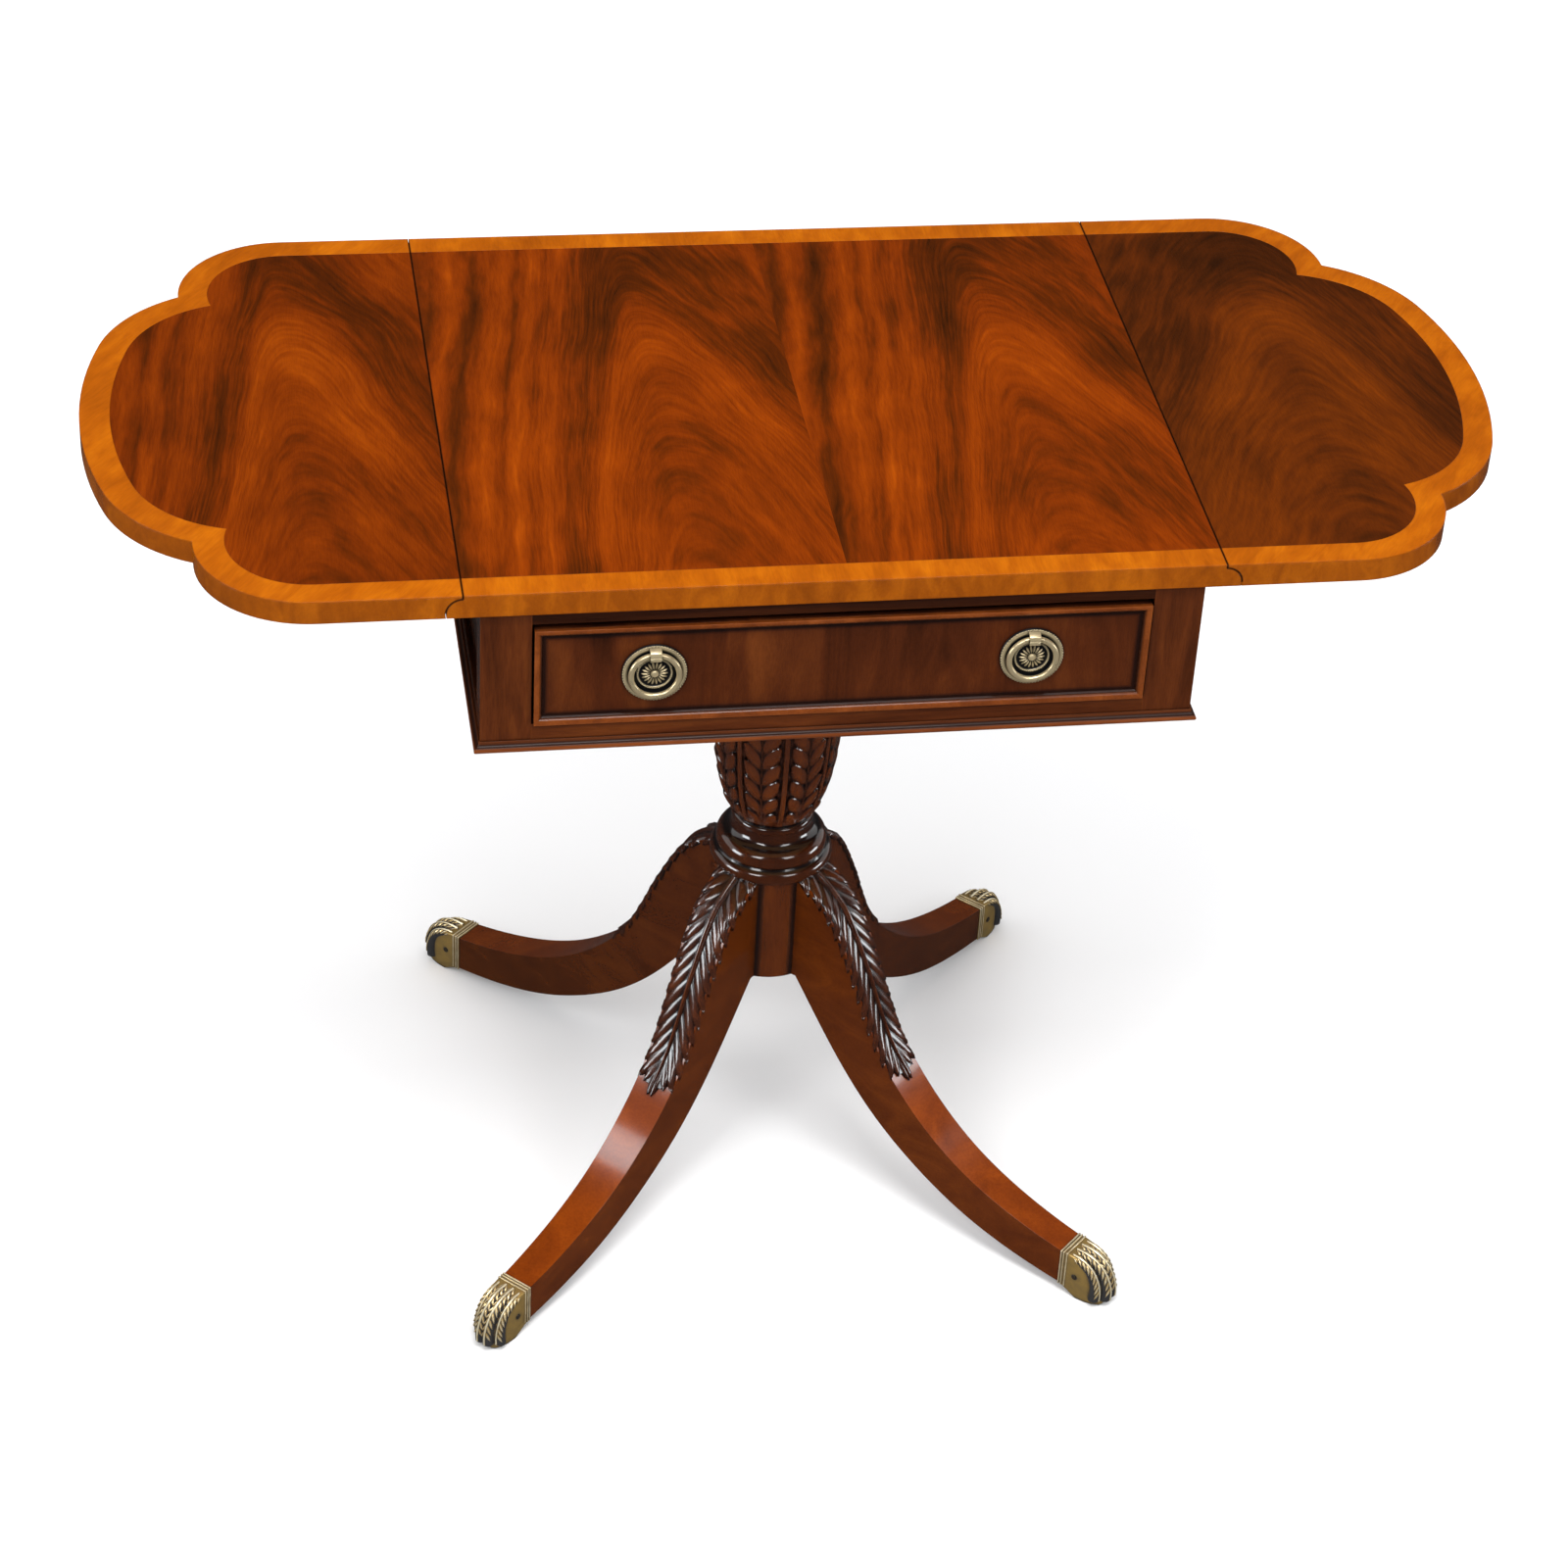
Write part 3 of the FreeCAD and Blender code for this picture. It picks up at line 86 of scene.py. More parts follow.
def vector_calc(tree, operation, first, second, result="Vector"):
    """One sum on vectors."""
    made = put(tree, "ShaderNodeVectorMath", {0: first, 1: second}, operation=operation)
    return made.outputs[result]


def mapped(tree, value, low, high, start=0.0, end=1.0):
    """A number that goes from start to end while a value goes from low to high."""
    return put(tree, "ShaderNodeMapRange", {0: value, 1: low, 2: high, 3: start, 4: end}).outputs[0]


def ramp(tree, factor, stops):
    """A colour ramp through (place, colour) stops."""
    made = put(tree, "ShaderNodeValToRGB", {0: factor})
    band = made.color_ramp
    while len(band.elements) < len(stops):
        band.elements.new(1.0)
    for element, (place, colour) in zip(band.elements, stops):
        element.position = place
        element.color = (*colour, 1.0)
    return made.outputs[0]


def tones(tree, factor, stops):
    """A grey ramp through (place, level) stops, as a number."""
    return ramp(tree, factor, [(place, (level, level, level)) for place, level in stops])


def between(tree, value, low, high, stops):
    """A number that follows (share, level) stops while a value goes from low to high."""
    return tones(tree, mapped(tree, value, low, high), stops)


def blend_colours(tree, factor, first, second, way="MIX"):
    """Two colours or sockets, blended by a factor."""
    made = put(tree, "ShaderNodeMix", {0: factor}, data_type="RGBA", blend_type=way)
    for socket, value in ((made.inputs[6], first), (made.inputs[7], second)):
        if isinstance(value, bpy.types.NodeSocket):
            tree.links.new(value, socket)
        else:
            socket.default_value = (*value, 1.0)
    return made.outputs[2]


def tinted(tree, factor, colour, tint):
    """A colour that takes on a tint by a factor."""
    return blend_colours(tree, factor, colour, blend_colours(tree, 1.0, colour, tint, "MULTIPLY"))


def noise(tree, vector, scale=1.0, detail=4.0, rough=0.55, distort=0.0):
    return put(tree, "ShaderNodeTexNoise", {"Vector": vector, "Scale": scale, "Detail": detail,
                                            "Roughness": rough, "Distortion": distort}).outputs["Fac"]


def here(tree):
    return put(tree, "ShaderNodeTexCoord").outputs["Object"]


def facing(tree):
    return put(tree, "ShaderNodeNewGeometry").outputs["Normal"]


def raised_share(tree):
    """How high a carving stands, as mark_raised kept it."""
    return put(tree, "ShaderNodeAttribute", attribute_name="raised").outputs["Fac"]


def split(tree, vector):
    return put(tree, "ShaderNodeSeparateXYZ", {0: vector}).outputs


def join(tree, x, y, z):
    return put(tree, "ShaderNodeCombineXYZ", {0: x, 1: y, 2: z}).outputs[0]


def stretched(tree, vector, scale, turn=(0, 0, 0)):
    """The same place on a stretched and turned grid."""
    return put(tree, "ShaderNodeMapping", {0: vector, "Scale": scale, "Rotation": turn}).outputs[0]


def softened(tree, radius):
    """The surface's direction with its arrises rounded."""
    return put(tree, "ShaderNodeBevel", {"Radius": radius}, samples=6).outputs[0]


def recesses(tree, reach, power):
    """0 in tight recesses, 1 on open surfaces."""
    shade = put(tree, "ShaderNodeAmbientOcclusion", {"Distance": reach}, samples=12).outputs["AO"]
    return calc(tree, "POWER", shade, power)


def new_material(name):
    made = bpy.data.materials.new(name)
    made.use_nodes = True
    tree = made.node_tree
    return made, tree, tree.nodes["Principled BSDF"]


def polish(tree, shader, colour, pore, pore_depth, roughness, coat, gloss, coat_rough=0.06,
           round_edge=0.0006):
    """Lacquered wood: colour, roughness, fine open pores and softly rounded arrises."""
    tree.links.new(colour, shader.inputs["Base Color"])
    shader.inputs["Roughness"].default_value = roughness
    shader.inputs["Specular IOR Level"].default_value = gloss
    shader.inputs["Coat Weight"].default_value = coat
    shader.inputs["Coat Roughness"].default_value = coat_rough
    bump = put(tree, "ShaderNodeBump", {"Strength": 0.35, "Distance": pore_depth, "Height": pore,
                                        "Normal": softened(tree, round_edge)})
    tree.links.new(bump.outputs[0], shader.inputs["Normal"])


# Woods

FLAME_STOPS = [(0.18, (0.026, 0.006, 0.0006)), (0.36, (0.07, 0.0118, 0.0005)),
               (0.5, (0.13, 0.0185, 0.0004)), (0.66, (0.19, 0.0285, 0.0004)), (0.86, (0.29, 0.05, 0.0007))]
DUSK_STOPS = [(0.2, (0.02, 0.0052, 0.001)), (0.38, (0.042, 0.0088, 0.001)),
              (0.52, (0.074, 0.0138, 0.001)), (0.68, (0.112, 0.0205, 0.0008)), (0.86, (0.165, 0.03, 0.0008))]
# Tone of the figure from the inside of the arch out to the straight streaks beside it
ARCH_TONES = [(0.0, 0.5), (0.167, 0.55), (0.217, 0.56), (0.244, 0.44), (0.289, 0.33), (0.333, 0.42),
              (0.389, 0.6), (0.444, 0.45), (0.489, 0.63), (0.533, 0.4), (0.589, 0.6), (0.644, 0.5),
              (0.694, 0.31), (0.739, 0.45), (0.789, 0.64), (0.861, 0.4), (1.0, 0.5)]
ARCH_INSIDE, ARCH_OUTSIDE = -0.4, 1.4
# How far the figure wanders along each axis
FIGURE_DRIFT = (0.024, 0.065, 0.0)
NOISE_MIDDLE = 0.5
STREAK_CROWDING = 0.45
# How often strokes follow each other out from the arch, along the flame and aside of it
STROKE_RATES = (7.0, 2.2, 3.2)
SHEET_SHIFT = 0.05
# Dark line in the rule joint: its width, and its middle past the seam and outside the round
JOINT_DARK = (0.01, 0.004, 0.001)
JOINT_WIDTH = 0.0012
JOINT_MIDDLE = 0.0003
ROUND_CLEARANCE = 0.0002
# Dark of the glaze and of the painted shade in recesses
GLAZE_AND_SHADE_DARK = (0.004, 0.002, 0.002)
# Painted light: tint that brightens what faces up
TOP_LIGHT_TINT = (1.0, 0.86, 0.6)
# Painted shade: tint of what stands at the back, under the top, and the depths between which it comes on
BACK_SHADE_TINT = (0.6, 0.66, 0.9)
BACK_SHADE_REACH = (-0.05, 0.15)
# Arrises worn lighter, with a painted highlight: their width, and how level a surface is where the lightening
# starts and is full
ARRIS_WIDTH = 0.0012
ARRIS_LEVELS = (0.97, 0.8)
# Reach of the painted shade lines inside the drawer's frame, and past both ends of the collar's grooves
FRAME_REACH = 0.02
GROOVE_MARGIN = 0.004
# Turn from the middle between two legs where the hub's painted corner shade starts and ends, in radians
CORNER_ANGLES = (0.2, 0.4)


def deeper(stops, share):
    """The same tones with less light in them."""
    return [(place, tuple(level * share for level in colour)) for place, colour in stops]


def joint_line(tree, place, colour):
    """Darkens a colour along the leaves' rule joint, across the top and round its curve on the edge."""
    x, _, z = split(tree, place)
    past = calc(tree, "SUBTRACT", calc(tree, "ABSOLUTE", x), SEAM)
    above = calc(tree, "SUBTRACT", z, PIN_HEIGHT)
    across = calc(tree, "ABSOLUTE", calc(tree, "SUBTRACT", past, JOINT_MIDDLE))
    # the line is straight on the fillet and the top, and follows the round under them
    across = calc(tree, "ADD", across, calc(tree, "LESS_THAN", above, RULE_RADIUS))
    squares = calc(tree, "ADD", calc(tree, "MULTIPLY", past, past), calc(tree, "MULTIPLY", above, above))
    round_line = calc(tree, "SUBTRACT", calc(tree, "SQRT", squares), RULE_RADIUS + ROUND_CLEARANCE)
    outside = calc(tree, "LESS_THAN", calc(tree, "MINIMUM", past, above), 0.0)
    round_line = calc(tree, "ADD", calc(tree, "ABSOLUTE", round_line), outside)
    nearest = calc(tree, "MINIMUM", across, round_line)
    line = between(tree, nearest, 0.0, JOINT_WIDTH, [(0.35, 0.85), (1.0, 0.0)])
    return blend_colours(tree, line, colour, JOINT_DARK)


def flame_veneer(name, stops, spine, apex, left_slope, right_slope, sweep, seed=0.0):
    """Crotch mahogany: tall nested arches with straight streaks beside them, alike on every sheet.

    spine and apex are the arches' place on a sheet, the slopes how steep they fall and sweep how round
    they are. seed picks other streaks."""
    made, tree, shader = new_material(name)
    place = here(tree)
    drift = put(tree, "ShaderNodeTexNoise", {"Vector": place, "Scale": 6.0, "Detail": 2.0}).outputs["Color"]
    centred = vector_calc(tree, "SUBTRACT", drift, (NOISE_MIDDLE,) * 3)
    wander = vector_calc(tree, "MULTIPLY", centred, FIGURE_DRIFT)
    x, y, _ = split(tree, vector_calc(tree, "ADD", place, wander))
    # sheets are cut at their true joint, the figure wanders inside them
    sheet_no = calc(tree, "FLOOR", calc(tree, "DIVIDE", split(tree, place)[0], SEAM))
    aside = calc(tree, "SUBTRACT", x, calc(tree, "ADD", calc(tree, "MULTIPLY", sheet_no, SEAM), spine))
    left = calc(tree, "LESS_THAN", aside, 0.0)
    slope = calc(tree, "ADD", calc(tree, "MULTIPLY", left, left_slope - right_slope), right_slope)
    bow = calc(tree, "SQRT", calc(tree, "ADD", calc(tree, "MULTIPLY", aside, aside), sweep ** 2))
    fall = calc(tree, "MULTIPLY", calc(tree, "SUBTRACT", bow, sweep), slope)
    arch = calc(tree, "ADD", calc(tree, "SUBTRACT", y, apex), fall)
    tone = between(tree, arch, ARCH_INSIDE, ARCH_OUTSIDE, ARCH_TONES)
    # streaks far out are drawn together, so that they keep their width
    spread = calc(tree, "DIVIDE", arch, calc(tree, "ADD", calc(tree, "ABSOLUTE", arch), STREAK_CROWDING))
    shift = calc(tree, "ADD", calc(tree, "MULTIPLY", sheet_no, SHEET_SHIFT), seed)
    broad = noise(tree, join(tree, spread, calc(tree, "MULTIPLY", y, 0.5), shift), 6.0, distort=0.1)
    # streaks are short strokes, so they break off both along the flame and across it
    out, along, beside = (calc(tree, "MULTIPLY", value, rate)
                          for value, rate in zip((spread, y, aside), STROKE_RATES))
    stroke = join(tree, out, along, calc(tree, "ADD", beside, shift))
    streak = noise(tree, stroke, 9.0, rough=0.6)
    cloud = noise(tree, stretched(tree, place, (3.0, 2.0, 1.0)), 3.4)
    pore = noise(tree, stretched(tree, place, (1400.0, 90.0, 1.0)), detail=2.0)
    for part, weight in ((broad, 0.6), (streak, 0.5), (cloud, 0.55)):
        swing = calc(tree, "SUBTRACT", part, NOISE_MIDDLE)
        tone = calc(tree, "ADD", tone, calc(tree, "MULTIPLY", swing, weight))
    colour = ramp(tree, tone, stops)
    colour = blend_colours(tree, 0.3, colour, tones(tree, pore, [(0.35, 0.55), (0.6, 1.0)]), "MULTIPLY")
    colour = joint_line(tree, place, colour)
    polish(tree, shader, colour, pore, pore_depth=0.00003, roughness=0.2, coat=0.12, gloss=0.06)
    return made


def satinwood(name, stops, ripple_turn=0.0):
    """Golden satinwood with a rippled sheen across its grain."""
    made, tree, shader = new_material(name)
    place = here(tree)
    turned = stretched(tree, place, (1, 1, 1), (0, 0, ripple_turn))
    ripple = noise(tree, stretched(tree, turned, (70.0, 22.0, 30.0)), detail=3.0, rough=0.6, distort=0.6)
    cloud = noise(tree, stretched(tree, place, (14.0, 14.0, 14.0)), detail=3.0)
    grain = noise(tree, stretched(tree, turned, (900.0, 90.0, 400.0)), detail=2.0)
    tone = calc(tree, "ADD", calc(tree, "MULTIPLY", ripple, 0.55), calc(tree, "MULTIPLY", cloud, 0.45))
    colour = ramp(tree, tone, stops)
    colour = blend_colours(tree, 0.25, colour, tones(tree, grain, [(0.35, 0.6), (0.6, 1.0)]), "MULTIPLY")
    colour = joint_line(tree, place, colour)
    polish(tree, shader, colour, grain, pore_depth=0.00004, roughness=0.22, coat=0.2, gloss=0.1,
           round_edge=0.0014)
    return made


def drawer_frame_shade(tree, place):
    """Painted shade along the inner edge of the drawer front's frame."""
    x, _, z = split(tree, place)
    inside = calc(tree, "SUBTRACT", DRAWER_HIGH.x, calc(tree, "ABSOLUTE", x))
    for edge in (calc(tree, "SUBTRACT", z, DRAWER_LOW.z), calc(tree, "SUBTRACT", DRAWER_HIGH.z, z)):
        inside = calc(tree, "MINIMUM", inside, edge)
    return between(tree, inside, 0.0, FRAME_REACH,
                   [(0.19, 1.0), (0.25, 0.12), (0.38, 0.1), (0.52, 0.85), (0.9, 1.0)])


def base_shade_lines(tree, place):
    """Painted shade in the base moulding's cove and along its foot."""
    return between(tree, split(tree, place)[2], BASE_LOW.z, BASE_HIGH.z,
                   [(0.02, 0.3), (0.1, 1.0), (0.42, 1.0), (0.52, 0.1), (0.7, 0.15), (0.82, 0.7), (1.0, 0.8)])


def hub_shade_lines(tree, place):
    """Painted shade in the collar's turned grooves and in the corners beside the legs."""
    x, y, z = split(tree, place)
    around = calc(tree, "ARCTAN2", y, x)
    aside = calc(tree, "ABSOLUTE", calc(tree, "WRAP", around, math.pi / 4, -math.pi / 4))
    corners = between(tree, aside, *CORNER_ANGLES, [(0.1, 1.0), (0.5, 0.1), (1.0, 0.05)])
    grooves = between(tree, z, COLLAR_FOOT - GROOVE_MARGIN, COLLAR_HEAD + GROOVE_MARGIN, [
        (0.06, 0.0), (0.1, 0.0), (0.14, 0.5), (0.27, 0.55), (0.3, 0.0), (0.335, 0.0), (0.37, 0.55),
        (0.54, 0.55), (0.57, 0.0), (0.62, 0.05), (0.66, 0.45), (0.77, 0.4), (0.79, 0.0), (0.81, 0.4),
        (0.89, 0.4), (0.91, 0.0)])
    on_collar = calc(tree, "GREATER_THAN", z, COLLAR_FOOT)
    return calc(tree, "ADD", calc(tree, "MULTIPLY", on_collar, grooves),
                calc(tree, "MULTIPLY", calc(tree, "SUBTRACT", 1.0, on_collar), corners))


def straight_mahogany(name, stops, grain_scale, glaze_and_shade, roughness=0.22, wander=1.2, reach=0.006, power=1.6,
                      coat=0.25, gloss=0.14, coat_rough=0.06, carved=False, wear_and_highlight=0.7, lines=None,
                      painted_top_light=0.0, pores=20.0):
    """Straight-grained mahogany; grain_scale is small along the grain.

    The glaze setting darkens its recesses, the ground of a carving by its depth, and the given lines, as
    dark glaze with painted shade. The rubbing setting lightens its arrises, as wear with a painted
    highlight, and the top-light setting brightens what faces up, as painted light."""
    made, tree, shader = new_material(name)
    place = here(tree)
    grain = noise(tree, stretched(tree, place, grain_scale), detail=5.0, rough=0.6, distort=wander)
    cloud = noise(tree, place, 9.0, 3.0)
    pore_scale = tuple(value * pores for value in grain_scale)
    pore = noise(tree, stretched(tree, place, pore_scale), detail=2.0)
    tone = calc(tree, "ADD", calc(tree, "MULTIPLY", grain, 0.7), calc(tree, "MULTIPLY", cloud, 0.3))
    colour = ramp(tree, tone, stops)
    colour = blend_colours(tree, 0.3, colour, tones(tree, pore, [(0.38, 0.5), (0.58, 1.0)]), "MULTIPLY")
    # painted light: faces that point up are brightened and warmed
    if painted_top_light:
        lit = between(tree, split(tree, facing(tree))[2], 0.0, 1.0, [(0.2, 0.0), (0.55, 1.0)])
        colour = tinted(tree, lit, colour, tuple(painted_top_light * level for level in TOP_LIGHT_TINT))
        # painted shade: what stands at the back, under the top, is darkened
        back_shade = between(tree, split(tree, place)[1], *BACK_SHADE_REACH, [(0.0, 0.0), (1.0, 1.0)])
        colour = tinted(tree, back_shade, colour, BACK_SHADE_TINT)
    # arrises worn lighter, with a painted highlight, take the lightest tone
    if wear_and_highlight:
        level = vector_calc(tree, "DOT_PRODUCT", softened(tree, ARRIS_WIDTH), facing(tree), "Value")
        rubbed = mapped(tree, level, *ARRIS_LEVELS, end=wear_and_highlight)
        colour = blend_colours(tree, rubbed, colour, stops[-1][1])
    # dark glaze with painted shade: recesses, the ground of a carving and the given lines take the dark
    open_face = recesses(tree, reach, power)
    if carved:
        crests = tones(tree, raised_share(tree), [(0.12, 0.0), (0.4, 0.7), (0.7, 1.0)])
        open_face = calc(tree, "MULTIPLY", open_face, crests)
    if lines:
        open_face = calc(tree, "MULTIPLY", open_face, lines(tree, place))
    glazed_and_shaded = blend_colours(tree, glaze_and_shade, colour, GLAZE_AND_SHADE_DARK)
    colour = blend_colours(tree, open_face, glazed_and_shaded, colour)
    polish(tree, shader, colour, pore, pore_depth=0.00005, roughness=roughness, coat=coat, gloss=gloss,
           coat_rough=coat_rough, round_edge=0.0009)
    return made


RED_BROWN = [(0.28, (0.03, 0.0065, 0.0015)), (0.5, (0.075, 0.0165, 0.003)), (0.72, (0.135, 0.033, 0.005))]
DRAWER_BROWN = [(0.32, (0.024, 0.0052, 0.0012)), (0.48, (0.058, 0.012, 0.0022)),
                (0.66, (0.112, 0.026, 0.0038))]
FRAME_BROWN = [(0.28, (0.075, 0.016, 0.003)), (0.5, (0.14, 0.032, 0.005)), (0.72, (0.23, 0.058, 0.01))]
DEEP_BROWN = [(0.28, (0.022, 0.005, 0.0018)), (0.5, (0.062, 0.0135, 0.003)), (0.72, (0.12, 0.028, 0.005))]
LEG_BROWN = [(0.3, (0.062, 0.012, 0.0014)), (0.5, (0.092, 0.0185, 0.0017)), (0.7, (0.13, 0.028, 0.0022))]
# Painted shade: a darker copy of the frieze's red brown, for the side rails and the rail under the top
SHADED_BROWN = [(0.28, (0.014, 0.0035, 0.001)), (0.5, (0.034, 0.008, 0.0018)), (0.72, (0.06, 0.014, 0.0025))]
GOLDEN = [(0.3, (0.225, 0.047, 0.0005)), (0.5, (0.31, 0.07, 0.0006)), (0.7, (0.43, 0.112, 0.0012))]
GOLDEN_EDGE = [(0.3, (0.14, 0.03, 0.0005)), (0.5, (0.22, 0.05, 0.0005)), (0.7, (0.32, 0.082, 0.0008))]
OAK = [(0.3, (0.23, 0.12, 0.05)), (0.5, (0.34, 0.19, 0.085)), (0.7, (0.45, 0.27, 0.13))]
UPRIGHT_GRAIN = (60.0, 60.0, 6.0)
LEVEL_GRAIN = (5.0, 60.0, 70.0)
SIDE_GRAIN = (60.0, 5.0, 70.0)
TURNED_GRAIN = (50.0, 50.0, 5.0)

MAIN_ARCH = {"spine": 0.166, "apex": 0.125, "left_slope": 9.0, "right_slope": 3.4, "sweep": 0.042}
RIGHT_ARCH = {"spine": 0.118, "apex": 0.1, "left_slope": 2.6, "right_slope": 3.8, "sweep": 0.045, "seed": 0.9}

WOODS = {wood.name: wood for wood in (
    flame_veneer("centre_flame", FLAME_STOPS, **MAIN_ARCH),
    # painted shade: the left leaf is the centre veneer with its tones darkened
    flame_veneer("left_flame_shaded", deeper(FLAME_STOPS, 0.85), **MAIN_ARCH),
    flame_veneer("right_flame", DUSK_STOPS, **RIGHT_ARCH),
    satinwood("band_front", GOLDEN),
    satinwood("band_leaf", GOLDEN, ripple_turn=0.6),
    satinwood("edge_gold", GOLDEN_EDGE),
    straight_mahogany("frieze_upright", RED_BROWN, UPRIGHT_GRAIN, glaze_and_shade=0.85),
    straight_mahogany("frieze_level", RED_BROWN, LEVEL_GRAIN, glaze_and_shade=0.85),
    # painted shade: the side rails take the shaded brown
    straight_mahogany("side_level", SHADED_BROWN, SIDE_GRAIN, glaze_and_shade=0.85),
    straight_mahogany("core", LEG_BROWN, SIDE_GRAIN, glaze_and_shade=0.5, wear_and_highlight=0.0),
    # painted shade: the rail under the top takes the shaded brown and a wide reach of darkening
    straight_mahogany("rail_shade", SHADED_BROWN, LEVEL_GRAIN, glaze_and_shade=0.9, reach=0.025, wear_and_highlight=0.0),
    straight_mahogany("frame_strip", FRAME_BROWN, (30.0, 60.0, 30.0), glaze_and_shade=0.97, wear_and_highlight=0.9,
                      lines=drawer_frame_shade),
    straight_mahogany("base_strip", FRAME_BROWN, (5.0, 5.0, 70.0), glaze_and_shade=0.97, roughness=0.36, coat=0.05,
                      lines=base_shade_lines),
    straight_mahogany("drawer_flame", DRAWER_BROWN, (26.0, 20.0, 4.0), glaze_and_shade=0.95, wander=1.0,
                      lines=drawer_frame_shade, pores=60.0),
    straight_mahogany("pedestal", DEEP_BROWN, TURNED_GRAIN, glaze_and_shade=0.97, roughness=0.2, reach=0.012,
                      power=2.6, coat=0.8, gloss=0.34, wear_and_highlight=0.0),
    straight_mahogany("hub", LEG_BROWN, TURNED_GRAIN, glaze_and_shade=0.97, roughness=0.16, reach=0.012, coat=1.0,
                      gloss=0.4, coat_rough=0.1, wear_and_highlight=0.0, lines=hub_shade_lines),
    # painted light brightens the legs' upward faces, and painted shade darkens the rear legs
    straight_mahogany("legs", LEG_BROWN, (18.0, 18.0, 40.0), glaze_and_shade=0.92, reach=0.01, coat=0.6, gloss=0.22,
                      coat_rough=0.1, wear_and_highlight=0.0, painted_top_light=2.1, pores=24.0),
    straight_mahogany("carving", DEEP_BROWN, (50.0, 50.0, 30.0), glaze_and_shade=0.97, roughness=0.24, reach=0.004,
                      coat=1.0, gloss=0.4, coat_rough=0.12, carved=True, wear_and_highlight=0.3, pores=24.0),
    straight_mahogany("vase_leaves", LEG_BROWN, (50.0, 50.0, 12.0), glaze_and_shade=0.98, roughness=0.24, reach=0.005,
                      power=2.2, coat=0.8, gloss=0.35, coat_rough=0.12, carved=True, wear_and_highlight=0.3, pores=24.0),
    straight_mahogany("carcass", OAK, (8.0, 40.0, 40.0), glaze_and_shade=0.4, roughness=0.55),
)}


# Metals

def antique_brass(name, bright, middle, dark, roughness=0.3, metal=0.62, sunk=None, carved=False):
    """Cast brass, rubbed bright on its high places and dark in its recesses.

    sunk gives the depths, from dark to rubbed, of a plate's sunk ground."""
    made, tree, shader = new_material(name)
    place = here(tree)
    cloud = noise(tree, place, 120.0, rough=0.6)
    clouding = tones(tree, cloud, [(0.3, 0.8), (0.65, 1.0)])
    patina = calc(tree, "MULTIPLY", recesses(tree, reach=0.003, power=1.3), clouding)
    if sunk:
        patina = calc(tree, "MULTIPLY", patina, mapped(tree, split(tree, place)[1], *sunk))
    if carved:
        crests = tones(tree, raised_share(tree), [(0.1, 0.05), (0.55, 0.75), (0.85, 1.0)])
        patina = calc(tree, "MULTIPLY", patina, crests)
    colour = ramp(tree, patina, [(0.2, dark), (0.55, middle), (0.9, bright)])
    tree.links.new(colour, shader.inputs["Base Color"])
    shader.inputs["Metallic"].default_value = metal
    shader.inputs["Specular IOR Level"].default_value = 0.6
    worn = mapped(tree, cloud, 0.3, 0.7, roughness - 0.02, roughness + 0.06)
    tree.links.new(worn, shader.inputs["Roughness"])
    bump = put(tree, "ShaderNodeBump", {"Strength": 0.05, "Distance": 0.0001, "Height": cloud,
                                        "Normal": softened(tree, 0.0004)})
    tree.links.new(bump.outputs[0], shader.inputs["Normal"])
    return made


def plain_steel(name):
    made, tree, shader = new_material(name)
    rub = noise(tree, stretched(tree, here(tree), (200.0, 40.0, 200.0)), detail=3.0)
    colour = ramp(tree, rub, [(0.3, (0.2, 0.19, 0.18)), (0.7, (0.42, 0.41, 0.39))])
    tree.links.new(colour, shader.inputs["Base Color"])
    shader.inputs["Metallic"].default_value = 1.0
    shader.inputs["Roughness"].default_value = 0.42
    return made


# Heights of the stamped plates' ground and of what is rubbed on them
PLATE_GROUND, PLATE_RUBBED = 0.0014, 0.0021
BRASS = antique_brass("cast_brass", (0.9, 0.82, 0.6), (0.47, 0.3, 0.085), (0.075, 0.073, 0.075), carved=True)
SCREW_BRASS = antique_brass("screw_brass", (0.07, 0.055, 0.04), (0.035, 0.03, 0.025), (0.01, 0.01, 0.01))
PLATE_BRASS = antique_brass("stamped_brass", (0.56, 0.455, 0.27), (0.25, 0.2, 0.115), (0.012, 0.012, 0.014),
                            sunk=(FRIEZE_FACE - PLATE_GROUND, FRIEZE_FACE - PLATE_RUBBED))
RING_BRASS = antique_brass("ring_brass", (0.68, 0.55, 0.33), (0.3, 0.24, 0.135), (0.05, 0.04, 0.026),
                           roughness=0.28, metal=0.75)
STEEL = plain_steel("hinge_steel")

# Words in the CAD nodes' names and the finish each brings; the first that fits counts
FINISHES = [
    ("left_leaf_veneer", WOODS["left_flame_shaded"]),
    ("right_leaf_veneer", WOODS["right_flame"]),
    ("top_veneers", WOODS["centre_flame"]),
    ("top_bands", WOODS["band_front"]),
    ("leaf_band", WOODS["band_leaf"]),
    ("lipping", WOODS["edge_gold"]),
    ("hinge", STEEL),
    ("fly_pins", STEEL),
    ("pull_ring", RING_BRASS),
    ("pull", SCREW_BRASS),
    ("paw_cap", SCREW_BRASS),
    ("drawer_front_frame", WOODS["frame_strip"]),
    ("drawer_front", WOODS["drawer_flame"]),
    ("vase_column", WOODS["pedestal"]),
    ("leg_hub", WOODS["hub"]),
    ("_leg", WOODS["legs"]),
    ("post", WOODS["frieze_upright"]),
    ("front_top_rail", WOODS["rail_shade"]),
    ("base_mouldings", WOODS["base_strip"]),
    ("core", WOODS["core"]),
    ("drawer_", WOODS["carcass"]),
    ("pedestal_board", WOODS["carcass"]),
    ("fly_rear_blocks", WOODS["carcass"]),
    ("side_apron", WOODS["carcass"]),
    ("fly", WOODS["side_level"]),
    ("lower_rail", WOODS["side_level"]),
    ("", WOODS["frieze_level"]),
]


